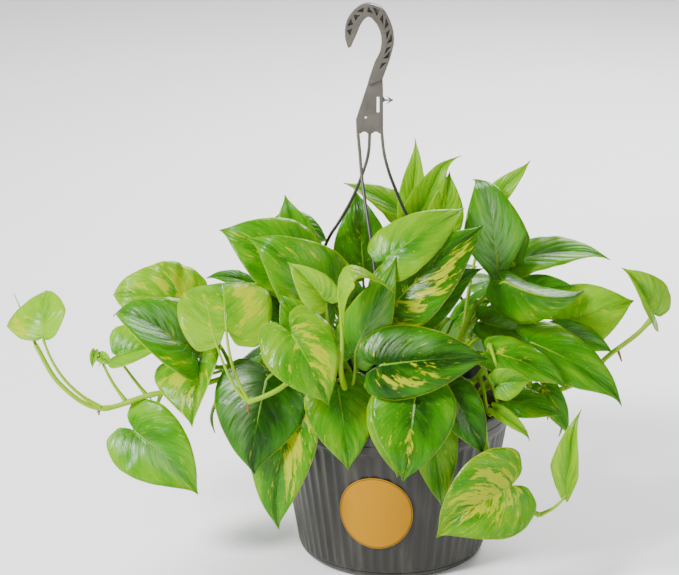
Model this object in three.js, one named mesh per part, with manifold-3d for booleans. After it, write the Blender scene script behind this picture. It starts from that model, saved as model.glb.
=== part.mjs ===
// A golden pothos growing in a fluted hanging basket. Millimetres, +Z up.
// The origin is the centre of the basket's underside, and the viewer stands towards -Y.
import * as THREE from "three";
import { mergeVertices } from "three/addons/utils/BufferGeometryUtils.js";
import Module from "manifold-3d";

const wasm = await Module();
wasm.setup();

// Basket: a tapered cup with flutes under a plain rim band.
const POT_HEIGHT = 146;
const POT_FOOT_RADIUS = 80;
const POT_WALL_BOTTOM_RADIUS = 84.5;
const POT_WALL_TOP_RADIUS = 104.5;
const POT_RIM_RADIUS = 107;
const POT_RIM_TAPER = 1.2;
const POT_FLUTES_START = 7;
const POT_FLUTES_END = 126;
const POT_RIM_START = 128;
const POT_FLUTES = 60;
const POT_INNER_SIDES = 40;
const POT_FLUTE_DEPTH = 1.6;
const POT_WALL = 2.4;
const POT_FLOOR = 3;
const DRAIN_HOLES = 6;
const DRAIN_HOLE_RADIUS = 4;
const DRAIN_CIRCLE_RADIUS = 56;
const DRAIN_HOLE_SIDES = 8;

// Potting mix, with a plain hole for each vine.
const SOIL_EDGE_HEIGHT = 126;
const SOIL_CROWN_HEIGHT = 130;
const SOIL_CROWN_SHARE = 0.75;
const HOLE_CLEARANCE = 0.5;
const HOLE_SIDES = 6;
const VINE_DEPTH = 30;
const GAP = 0.3;

// Label: a thin disc on the front wall, which bends round the flutes' crests.
const LABEL_RADIUS = 32.5;
const LABEL_THICKNESS = 0.7;
const LABEL_SIDES = 20;
const LABEL_RINGS = [0.35, 0.7, 1];
const LABEL_CENTRE_HEIGHT = 61;
const LABEL_CENTRE_TURN = THREE.MathUtils.degToRad(-9.5);

// Stems, leaf stalks and blades.
const VINE_RADIUS = 2.7;
const VINE_TIP_RADIUS = 2.1;
const STALK_RADIUS = 1.7;
const STALK_TIP_RADIUS = 1.1;
const STALK_END_RADIUS = 0.3;
const SPIKE_TIP_RADIUS = 0.4;
const VINE_SIDES = 5;
const STALK_SIDES = 3;
const STALK_STEPS = 3;
const PLACED_STALK_STEPS = 5;
const VINE_NECK = 9;
const LEAVES_LEAVE_AT = [0.55, 0.98];
// Where an unplaced stalk runs, as shares of its reach: the point behind the blade's base and the lifted
// point before it. `under` and `rise` are shares of the blade, for the stalk's end below the midrib.
const STALK_BEND = {
  behind: 0.22, back: 0.12, below: 0.18, liftedAt: 0.4, lift: 0.1, under: 0.06, rise: 0.2,
};
const BLADE_THICKNESS = 0.9;

// The view in which leaves, stems and the hanger are placed: pixels of a 679 x 575 picture, seen from
// VIEW_DISTANCE in front of the basket and a little above it.
const PICTURE_WIDTH = 679;
const PICTURE_HEIGHT = 575;
const MM_PER_PIXEL = 0.88;
const VIEW_DISTANCE = 2400;
const VIEW_ELEVATION = THREE.MathUtils.degToRad(19);
const VIEW_AIM = new THREE.Vector3(-47.5, 0, 246);
const VIEW_RIGHT = new THREE.Vector3(1, 0, 0);
const VIEW_UP = new THREE.Vector3(0, Math.sin(VIEW_ELEVATION), Math.cos(VIEW_ELEVATION));
const VIEW_TOWARDS = new THREE.Vector3(0, -Math.cos(VIEW_ELEVATION), Math.sin(VIEW_ELEVATION));

// The point that shows at pixel u, v and lies `front` millimetres in front of the basket's axis.
function seen([u, v, front]) {
  const eye = VIEW_AIM.clone().addScaledVector(VIEW_TOWARDS, VIEW_DISTANCE);
  const right = ((u - PICTURE_WIDTH / 2) * MM_PER_PIXEL) / VIEW_DISTANCE;
  const up = ((PICTURE_HEIGHT / 2 - v) * MM_PER_PIXEL) / VIEW_DISTANCE;
  const ray = VIEW_TOWARDS.clone().negate();
  ray.addScaledVector(VIEW_RIGHT, right).addScaledVector(VIEW_UP, up);
  return eye.addScaledVector(ray, (-front - eye.y) / ray.y);
}

// Solids

function geometryOf(vertices, triangles) {
  const geometry = new THREE.BufferGeometry();
  const numbers = vertices.flatMap((vertex) => [vertex.x, vertex.y, vertex.z]);
  geometry.setAttribute("position", new THREE.Float32BufferAttribute(numbers, 3));
  geometry.setIndex(triangles.flat());
  return geometry;
}

function solidOf(geometry) {
  const bare = geometry.clone();
  bare.deleteAttribute("normal");
  bare.deleteAttribute("uv");
  const merged = mergeVertices(bare, 1e-4);
  return new wasm.Manifold(
    new wasm.Mesh({
      numProp: 3,
      vertProperties: merged.attributes.position.array,
      triVerts: new Uint32Array(merged.index.array),
    }),
  );
}

// The largest body of a fused solid: sealed hollows are filled and loose scraps dropped.
function mainBody(solid) {
  return solid.decompose().reduce((best, body) => (body.volume() > best.volume() ? body : best));
}

function joined(geometries) {
  return mainBody(geometries.map(solidOf).reduce((sum, solid) => sum.add(solid)));
}

function meshOf(name, solid, material) {
  const { numProp, vertProperties, triVerts } = solid.getMesh();
  const geometry = new THREE.BufferGeometry();
  const positions = new THREE.BufferAttribute(new Float32Array(vertProperties), numProp);
  geometry.setAttribute("position", positions);
  geometry.setIndex(new THREE.BufferAttribute(new Uint32Array(triVerts), 1));
  geometry.computeVertexNormals();
  const mesh = new THREE.Mesh(geometry, material);
  mesh.name = name;
  return mesh;
}

// A closed body through rings of equally many points, from the bottom ring up.
function loft(rings) {
  const count = rings[0].length;
  const centre = (ring) =>
    ring.reduce((sum, point) => sum.add(point), new THREE.Vector3()).divideScalar(ring.length);
  const vertices = [...rings.flat(), centre(rings[0]), centre(rings[rings.length - 1])];
  const bottom = vertices.length - 2;
  const top = vertices.length - 1;
  const triangles = [];
  for (let i = 0; i < count; i++) {
    const next = (i + 1) % count;
    triangles.push([bottom, next, i]);
    for (let row = 0; row < rings.length - 1; row++) {
      const a = row * count;
      const b = a + count;
      triangles.push([a + i, a + next, b + next], [a + i, b + next, b + i]);
    }
    const last = (rings.length - 1) * count;
    triangles.push([top, last + i, last + next]);
  }
  return geometryOf(vertices, triangles);
}

function ringAt(height, count, radiusAt) {
  return Array.from({ length: count }, (_, i) => {
    const angle = (2 * Math.PI * i) / count;
    const radius = radiusAt(i);
    return new THREE.Vector3(radius * Math.cos(angle), radius * Math.sin(angle), height);
  });
}

// A round limb along a curve, thinner towards its end. The radii are those of its start, of its end and,
// where it has a third, of the very last ring.
function limb(points, [startRadius, endRadius, last = endRadius], sides, steps) {
  const curve = new THREE.CatmullRomCurve3(points, false, "centripetal");
  const frames = curve.computeFrenetFrames(steps, false);
  const rings = frames.normals.map((normal, step) => {
    const even = THREE.MathUtils.lerp(startRadius, endRadius, step / steps);
    const radius = step === steps ? last : even;
    const centre = curve.getPointAt(step / steps);
    return Array.from({ length: sides }, (_, i) => {
      const angle = (2 * Math.PI * i) / sides;
      return centre
        .clone()
        .addScaledVector(normal, radius * Math.cos(angle))
        .addScaledVector(frames.binormals[step], radius * Math.sin(angle));
    });
  });
  return loft(rings);
}

// Basket

function wallRadius(height) {
  const share = (height - POT_FLUTES_START) / (POT_FLUTES_END - POT_FLUTES_START);
  return THREE.MathUtils.lerp(POT_WALL_BOTTOM_RADIUS, POT_WALL_TOP_RADIUS, share);
}

function makePot(material) {
  const count = 2 * POT_FLUTES;
  const plain = (radius) => () => radius;
  const fluted = (radius) => (i) => (i % 2 ? radius - POT_FLUTE_DEPTH : radius);
  const body = loft([
    ringAt(0, count, plain(POT_FOOT_RADIUS)),
    ringAt(POT_FLUTES_START, count, fluted(POT_WALL_BOTTOM_RADIUS)),
    ringAt(POT_FLUTES_END, count, fluted(POT_WALL_TOP_RADIUS)),
    ringAt(POT_RIM_START, count, plain(POT_RIM_RADIUS - POT_RIM_TAPER)),
    ringAt(POT_HEIGHT, count, plain(POT_RIM_RADIUS)),
  ]);
  const hollow = loft([
    ringAt(POT_FLOOR, POT_INNER_SIDES, plain(innerRadius(POT_FLOOR))),
    ringAt(POT_FLUTES_END, POT_INNER_SIDES, plain(innerRadius(POT_FLUTES_END))),
    ringAt(POT_RIM_START, POT_INNER_SIDES, plain(POT_RIM_RADIUS - POT_RIM_TAPER - POT_WALL)),
    ringAt(POT_HEIGHT + 1, POT_INNER_SIDES, plain(POT_RIM_RADIUS - POT_WALL)),
  ]);
  let pot = solidOf(body).subtract(solidOf(hollow));
  for (let i = 0; i < DRAIN_HOLES; i++) {
    const [radius, depth] = [DRAIN_HOLE_RADIUS, 3 * POT_FLOOR];
    const drill = new THREE.CylinderGeometry(radius, radius, depth, DRAIN_HOLE_SIDES);
    drill.rotateX(Math.PI / 2).translate(DRAIN_CIRCLE_RADIUS, 0, POT_FLOOR / 2);
    drill.rotateZ((2 * Math.PI * i) / DRAIN_HOLES);
    pot = pot.subtract(solidOf(drill));
  }
  return meshOf("pot", pot, material);
}

function innerRadius(height) {
  return wallRadius(height) - POT_FLUTE_DEPTH - POT_WALL;
}

// Potting mix

function makeSoil(material, roots) {
  const fit = (height) => () => innerRadius(height) - GAP;
  const body = loft([
    ringAt(POT_FLOOR + GAP, POT_INNER_SIDES, fit(POT_FLOOR)),
    ringAt(SOIL_EDGE_HEIGHT, POT_INNER_SIDES, fit(SOIL_EDGE_HEIGHT)),
    ringAt(SOIL_CROWN_HEIGHT, POT_INNER_SIDES, () => innerRadius(SOIL_EDGE_HEIGHT) * SOIL_CROWN_SHARE),
  ]);
  let soil = solidOf(body);
  for (const [x, y] of roots) {
    const radius = VINE_RADIUS + HOLE_CLEARANCE;
    const depth = VINE_DEPTH + GAP;
    const drill = new THREE.CylinderGeometry(radius, radius, 2 * depth, HOLE_SIDES);
    drill.rotateX(Math.PI / 2).translate(x, y, SOIL_CROWN_HEIGHT);
    soil = soil.subtract(solidOf(drill));
  }
  return meshOf("soil", soil, material);
}

// Label

// A point of the label: distance and turn from its centre, then how far it stands off the flutes.
function onLabel(distance, turn, standOff) {
  const height = LABEL_CENTRE_HEIGHT + distance * Math.sin(turn);
  const radius = wallRadius(height) + standOff;
  const angle = LABEL_CENTRE_TURN + (distance * Math.cos(turn)) / radius;
  return new THREE.Vector3(radius * Math.sin(angle), -radius * Math.cos(angle), height);
}

function makeLabel(material) {
  const sides = LABEL_SIDES;
  const reaches = LABEL_RINGS;
  const face = (standOff) => [
    onLabel(0, 0, standOff),
    ...reaches.flatMap((reach) =>
      Array.from({ length: sides }, (_, i) =>
        onLabel(LABEL_RADIUS * reach, (2 * Math.PI * i) / sides, standOff),
      ),
    ),
  ];
  const front = [];
  for (let i = 0; i < sides; i++) {
    const next = (i + 1) % sides;
    front.push([0, 1 + i, 1 + next]);
    for (let ring = 0; ring < reaches.length - 1; ring++) {
      const inner = 1 + ring * sides;
      const outer = inner + sides;
      front.push([inner + i, outer + i, outer + next], [inner + i, outer + next, inner + next]);
    }
  }
  const sheet = sheetSolid(face(GAP + LABEL_THICKNESS), face(GAP), front);
  return meshOf("label", solidOf(sheet), material);
}

// A closed sheet from its two faces and the triangles of the upper one.
function sheetSolid(upper, lower, triangles) {
  const count = upper.length;
  const edges = new Map();
  for (const [a, b, c] of triangles)
    for (const [from, to] of [
      [a, b],
      [b, c],
      [c, a],
    ])
      edges.set(from + " " + to, [from, to]);
  const under = triangles.map(([a, b, c]) => [a + count, c + count, b + count]);
  const rim = [...edges.values()]
    .filter(([from, to]) => !edges.has(to + " " + from))
    .flatMap(([from, to]) => [
      [from + count, to + count, to],
      [from + count, to, from],
    ]);
  return geometryOf([...upper, ...lower], [...triangles, ...under, ...rim]);
}

// Blades

// One half of a blade's outline, from the lobe beside the stalk to the tip, for a blade of length 1 and
// width 1, and where on the midrib the side vein to each of these points starts.
const HALF_OUTLINE = [
  [-0.13, 0.13],
  [-0.13, 0.34],
  [0.05, 0.485],
  [0.29, 0.49],
  [0.53, 0.385],
  [0.75, 0.215],
  [0.91, 0.06],
  [1, 0],
];
const VEIN_STARTS = [0, 0, 0.07, 0.21, 0.4, 0.62, 0.83, 1];
const WAVES = 2.2;
const NO_BEND = 1e-6;
const HEEL_LENGTH = 0.35;

// A leaf is placed by its base, where the stalk meets the blade, and its tip. `wide` is its width over
// its length, `faces` says how far it turns right and up from facing the viewer, `fold` and `roll` bend
// its two halves (left, right) up from the midrib, in degrees, `arch` lifts its middle, as a share of
// its length, and `wave` ripples its edge. `lobes` says how far the two lobes reach back past the stalk,
// `heel` how full the blade is beside it, and `columns` and `rows` how finely the blade is divided.
const PLAIN_LEAF = {
  wide: 0.8,
  faces: [0, 0.35, 1],
  fold: [12, 12],
  roll: [-25, -25],
  arch: 0.1,
  wave: 0.012,
  lobes: 1,
  heel: 1,
  columns: [0.55, 1],
  rows: [0, 1, 2, 3, 4, 5, 6, 7],
};

function placed(leaf) {
  const full = { ...PLAIN_LEAF, ...leaf };
  const start = full.base;
  const along = full.tip.clone().sub(start);
  const length = along.length();
  along.normalize();
  const [right, up, towards = 1] = full.faces;
  const normal = full.normal ? full.normal.clone() : VIEW_TOWARDS.clone().multiplyScalar(towards);
  if (!full.normal) normal.addScaledVector(VIEW_RIGHT, right).addScaledVector(VIEW_UP, up);
  normal.addScaledVector(along, -normal.dot(along)).normalize();
  const side = along.clone().cross(normal);
  return { ...full, start, along, length, normal, side };
}

// A point of the blade's middle surface and the surface's normal there, from shares of its length.
function onBlade(leaf, share, across) {
  const slope = 4 * leaf.arch * (1 - 2 * share);
  const rise = 4 * leaf.arch * share * (1 - share);
  const lift = leaf.normal.clone().addScaledVector(leaf.along, -slope).normalize();
  const out = leaf.side;
  const half = across < 0 ? 0 : 1;
  const reach = Math.abs(across);
  const fold = THREE.MathUtils.degToRad(leaf.fold[half]);
  const bend = THREE.MathUtils.degToRad(leaf.roll[half]) / (0.5 * leaf.wide) || NO_BEND;
  const angle = fold + bend * reach;
  const outward = (Math.sin(angle) - Math.sin(fold)) / bend;
  const ripple = Math.sin(2 * Math.PI * (WAVES * share + 0.5 * half));
  const upward = (Math.cos(fold) - Math.cos(angle)) / bend
    + leaf.wave * ripple * (reach / (0.5 * leaf.wide)) ** 2;
  const sign = half ? 1 : -1;
  const point = leaf.start
    .clone()
    .addScaledVector(leaf.along, share * leaf.length)
    .addScaledVector(leaf.normal, rise * leaf.length)
    .addScaledVector(out, sign * outward * leaf.length)
    .addScaledVector(lift, upward * leaf.length);
  const lean = reach ? angle : 0;
  const normal = lift.multiplyScalar(Math.cos(lean)).addScaledVector(out, -sign * Math.sin(lean));
  return { point, normal };
}

// A blade whose lobes are turned away is narrow beside its stalk and full from HEEL_LENGTH on.
function fullness(leaf, share) {
  return 1 - (1 - leaf.heel) * THREE.MathUtils.clamp(1 - share / HEEL_LENGTH, 0, 1);
}

function makeBlade(leaf) {
  const spots = [];
  const spotAt = (share, across) => {
    spots.push(onBlade(leaf, share, across));
    return spots.length - 1;
  };
  const starts = leaf.rows.map((row) => VEIN_STARTS[row]);
  const midrib = starts.map((share, i) => (i === 1 ? 0 : spotAt(share, 0)));
  const triangles = [];
  for (const sign of [-1, 1]) {
    const rows = leaf.rows.map((row, i) => {
      if (i === leaf.rows.length - 1) return leaf.columns.map(() => midrib[i]);
      const [share, across] = HALF_OUTLINE[row];
      const end = share < 0 ? share * leaf.lobes : share;
      const reach = sign * across * leaf.wide * fullness(leaf, share);
      return leaf.columns.map((column) =>
        spotAt(THREE.MathUtils.lerp(starts[i], end, column), reach * column),
      );
    });
    const net = rows.map((row, i) => [midrib[i], ...row]);
    for (let i = 0; i < net.length - 1; i++)
      for (let j = 0; j < leaf.columns.length; j++) {
        const [a, b, c, d] = [net[i][j], net[i][j + 1], net[i + 1][j + 1], net[i + 1][j]];
        const pair = [
          [a, b, c],
          [a, c, d],
        ];
        for (const [p, q, r] of pair)
          if (p !== q && q !== r && r !== p) triangles.push(sign > 0 ? [p, q, r] : [p, r, q]);
      }
  }
  const shifted = (amount) =>
    spots.map(({ point, normal }) => point.clone().addScaledVector(normal, amount));
  return sheetSolid(shifted(BLADE_THICKNESS / 2), shifted(-BLADE_THICKNESS / 2), triangles);
}

// The stalk rises from the vine, comes up behind the blade and ends under its midrib.
function makeStalk(leaf, from) {
  const reach = from.distanceTo(leaf.start);
  const under = leaf.start
    .clone()
    .addScaledVector(leaf.normal, -STALK_BEND.behind * reach)
    .addScaledVector(leaf.along, -STALK_BEND.back * reach);
  under.z -= STALK_BEND.below * reach;
  const lifted = from.clone().lerp(under, STALK_BEND.liftedAt);
  lifted.z += STALK_BEND.lift * reach;
  const route = leaf.stalk ? leaf.stalk.map(seen) : [lifted, under];
  const end = leaf.start.clone().addScaledVector(leaf.along, STALK_BEND.under * leaf.length);
  end.addScaledVector(leaf.normal, STALK_BEND.rise * leaf.arch * leaf.length);
  const steps = leaf.stalk ? PLACED_STALK_STEPS : STALK_STEPS;
  const radii = [STALK_RADIUS, STALK_TIP_RADIUS, STALK_END_RADIUS];
  return limb([from, ...route, end], radii, STALK_SIDES, steps);
}

// A vine: its buried end stands plumb in the mix, then it follows its route. Leaves leave it at
// even steps unless they say where.
function makeVine(vine) {
  const [x, y] = vine.root;
  const mouth = new THREE.Vector3(x, y, SOIL_CROWN_HEIGHT);
  const foot = new THREE.Vector3(x, y, SOIL_CROWN_HEIGHT - VINE_DEPTH);
  const neck = new THREE.Vector3(x, y, SOIL_CROWN_HEIGHT + VINE_NECK);
  const route = [mouth, neck, ...vine.route];
  const curve = new THREE.CatmullRomCurve3(route, false, "centripetal");
  const steps = 4 + 2 * vine.route.length;
  const pieces = [limb([foot, ...route], [VINE_RADIUS, VINE_TIP_RADIUS], VINE_SIDES, steps)];
  const [first, last] = LEAVES_LEAVE_AT;
  vine.leaves.forEach((leaf, i) => {
    const even = THREE.MathUtils.lerp(first, last, i / Math.max(1, vine.leaves.length - 1));
    const from = leaf.from ?? curve.getPointAt(even);
    const blade = placed(leaf);
    pieces.push(makeStalk(blade, from), makeBlade(blade));
  });
  for (const spike of vine.spikes ?? [])
    pieces.push(limb(spike.map(seen), [STALK_RADIUS, SPIKE_TIP_RADIUS], STALK_SIDES, STALK_STEPS));
  return joined(pieces);
}

// Hanger

// The hook's outer and inner edges, from its blunt end round to its neck, and the plate below, in pixels.
const HOOK_OUTER = [
  [348, 45], [345, 34], [347, 19], [357, 6], [369, 1], [382, 5.5], [392, 23], [394.5, 37], [391, 54],
  [383, 76],
];
const HOOK_INNER = [
  [351, 44], [357, 30.5], [362, 19.5], [368.5, 13.5], [375, 18.5], [381, 31], [381, 48], [374.5, 62.5],
  [368, 82],
];
const PLATE_EDGE = [[383.5, 90], [383.5, 132], [356.5, 132], [356, 118]];
const PLATE_ARCHES = [[364.3, 134], [376.2, 134]];
const PLATE_ARCH_RADIUS = 3.4;
const PLATE_SLOT = [[377, 95], [379.7, 95], [379.7, 111], [377, 111]];
const PLATE_HOLE = [366, 116];
const PLATE_HOLE_RADIUS = 1.1;
const BARB = [
  [383, 94], [385.5, 97.6], [390, 98], [386.5, 94.2], [394, 98.5], [386.5, 102.8], [390, 99],
  [385.5, 99.4], [383, 101],
];
const PLATE_DEPTH = 3;
const HOOK_DEPTH = 8;
const HOOK_STEPS = [22, 18];
const HOOK_POCKETS = 13;
const POCKETS_START = 0.1;
const POCKETS_END = 0.9;
const POCKET_LENGTH = 0.95;
const POCKET_OUTER = 0.14;
const POCKET_INNER = 0.52;
const HOLE_ROUND_SIDES = 12;
const LEG_RADIUS = 1.5;
const LEG_SIDES = 5;
const LEG_STEPS = 11;
const LEG_DROP = 8;
const LEGS = [
  [
    [358, 131, 0], [360, 152, 5], [362, 176, 12], [366, 206, 27], [371, 240, 44], [380, 310, 73],
    [389, 366, 95], [393, 404, 107],
  ],
  [
    [370, 131, 0], [368.5, 153, -3], [361.5, 176, -8], [352.5, 197.5, -14], [340, 220, -21],
    [328, 239, -28], [306, 300, -46], [292, 350, -55],
  ],
  [
    [382, 131, 0], [384.6, 153, -3], [390, 173, -8], [397, 191, -13], [408, 216, -20], [430, 252, -31],
    [470, 310, -47], [492, 348, -55],
  ],
];
const CLIP_TURNS = [-90, 150, 30].map(THREE.MathUtils.degToRad);
const CLIP = { width: 9, wall: 2, outerDrop: 13, innerDrop: 9, clearance: 0.4 };

const flatPoint = ([u, v]) => {
  const point = seen([u, v, 0]);
  return new THREE.Vector2(point.x, point.z);
};

// A flat outline in the plane through the basket's axis that faces the viewer, with some depth.
function slab(outline, depth) {
  const shape = new THREE.Shape(outline);
  const geometry = new THREE.ExtrudeGeometry(shape, { depth, bevelEnabled: false });
  return geometry.translate(0, 0, -depth / 2).rotateX(Math.PI / 2);
}

function hookEdges() {
  const outer = new THREE.SplineCurve(HOOK_OUTER.map(flatPoint));
  const inner = new THREE.SplineCurve(HOOK_INNER.map(flatPoint));
  return { outer, inner };
}

// The pockets between the struts in the hook's outer flank, open on both faces.
function hookPockets({ outer, inner }) {
  const between = (share, depth) => outer.getPointAt(share).lerp(inner.getPointAt(share), depth);
  return Array.from({ length: HOOK_POCKETS }, (_, i) => {
    const pitch = (POCKETS_END - POCKETS_START) / HOOK_POCKETS;
    const start = POCKETS_START + pitch * i;
    const end = start + pitch * POCKET_LENGTH;
    const [base, apex] = i % 2 ? [POCKET_OUTER, POCKET_INNER] : [POCKET_INNER, POCKET_OUTER];
    const corners = [between(start, base), between(end, base), between((start + end) / 2, apex)];
    return slab(corners, HOOK_DEPTH * 2);
  });
}

function makeClip(turn) {
  const { width, wall, outerDrop, innerDrop, clearance } = CLIP;
  const top = POT_HEIGHT + clearance + wall;
  const outerFace = POT_RIM_RADIUS + clearance;
  const innerFace = POT_RIM_RADIUS - POT_RIM_TAPER - POT_WALL - clearance;
  const span = outerFace + wall - (innerFace - wall);
  const box = (length, height, centre, middle) =>
    new THREE.BoxGeometry(length, width, height).translate(centre, 0, middle).rotateZ(turn);
  return [
    box(span, wall, innerFace - wall + span / 2, top - wall / 2),
    box(wall, outerDrop, outerFace + wall / 2, top - outerDrop / 2),
    box(wall, innerDrop, innerFace - wall / 2, top - innerDrop / 2),
  ];
}

function makeLeg(route, turn) {
  const landing = (height) => {
    const radius = POT_RIM_RADIUS + CLIP.clearance + CLIP.wall / 2;
    return new THREE.Vector3(radius * Math.cos(turn), radius * Math.sin(turn), height);
  };
  const onClip = POT_HEIGHT + CLIP.clearance + CLIP.wall / 2;
  const points = [...route.map(seen), landing(POT_HEIGHT + LEG_DROP), landing(onClip)];
  return limb(points, [LEG_RADIUS, LEG_RADIUS], LEG_SIDES, LEG_STEPS);
}

function makeHanger(material) {
  const edges = hookEdges();
  const outer = edges.outer.getSpacedPoints(HOOK_STEPS[0]);
  const inner = edges.inner.getSpacedPoints(HOOK_STEPS[1]).reverse();
  const web = slab([...outer, ...PLATE_EDGE.map(flatPoint), ...inner], PLATE_DEPTH);
  let hook = solidOf(slab([...outer, ...inner], HOOK_DEPTH));
  for (const pocket of hookPockets(edges)) hook = hook.subtract(solidOf(pocket));
  let plate = solidOf(web).add(solidOf(slab(BARB.map(flatPoint), PLATE_DEPTH / 2)));
  const cut = (geometry) => (plate = plate.subtract(solidOf(geometry)));
  cut(slab(PLATE_SLOT.map(flatPoint), HOOK_DEPTH));
  const drill = (pixel, radius) => {
    const centre = flatPoint(pixel);
    const hole = new THREE.CylinderGeometry(radius, radius, HOOK_DEPTH, HOLE_ROUND_SIDES);
    cut(hole.translate(centre.x, 0, centre.y));
  };
  drill(PLATE_HOLE, PLATE_HOLE_RADIUS);
  for (const arch of PLATE_ARCHES) drill(arch, PLATE_ARCH_RADIUS);
  let hanger = plate.add(hook);
  LEGS.forEach((route, i) => {
    for (const piece of [makeLeg(route, CLIP_TURNS[i]), ...makeClip(CLIP_TURNS[i])])
      hanger = hanger.add(solidOf(piece));
  });
  return meshOf("hanger", mainBody(hanger), material);
}

// Plants

const LIME = "#a4cf22";
const GREEN = "#4d9a1c";
const DARK = "#2c6d18";
const FEW_FACES = { columns: [1], rows: [0, 1, 2, 3, 4, 5, 7] };
const FEWEST_FACES = { columns: [1], rows: [0, 1, 2, 3, 5, 7] };

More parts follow.
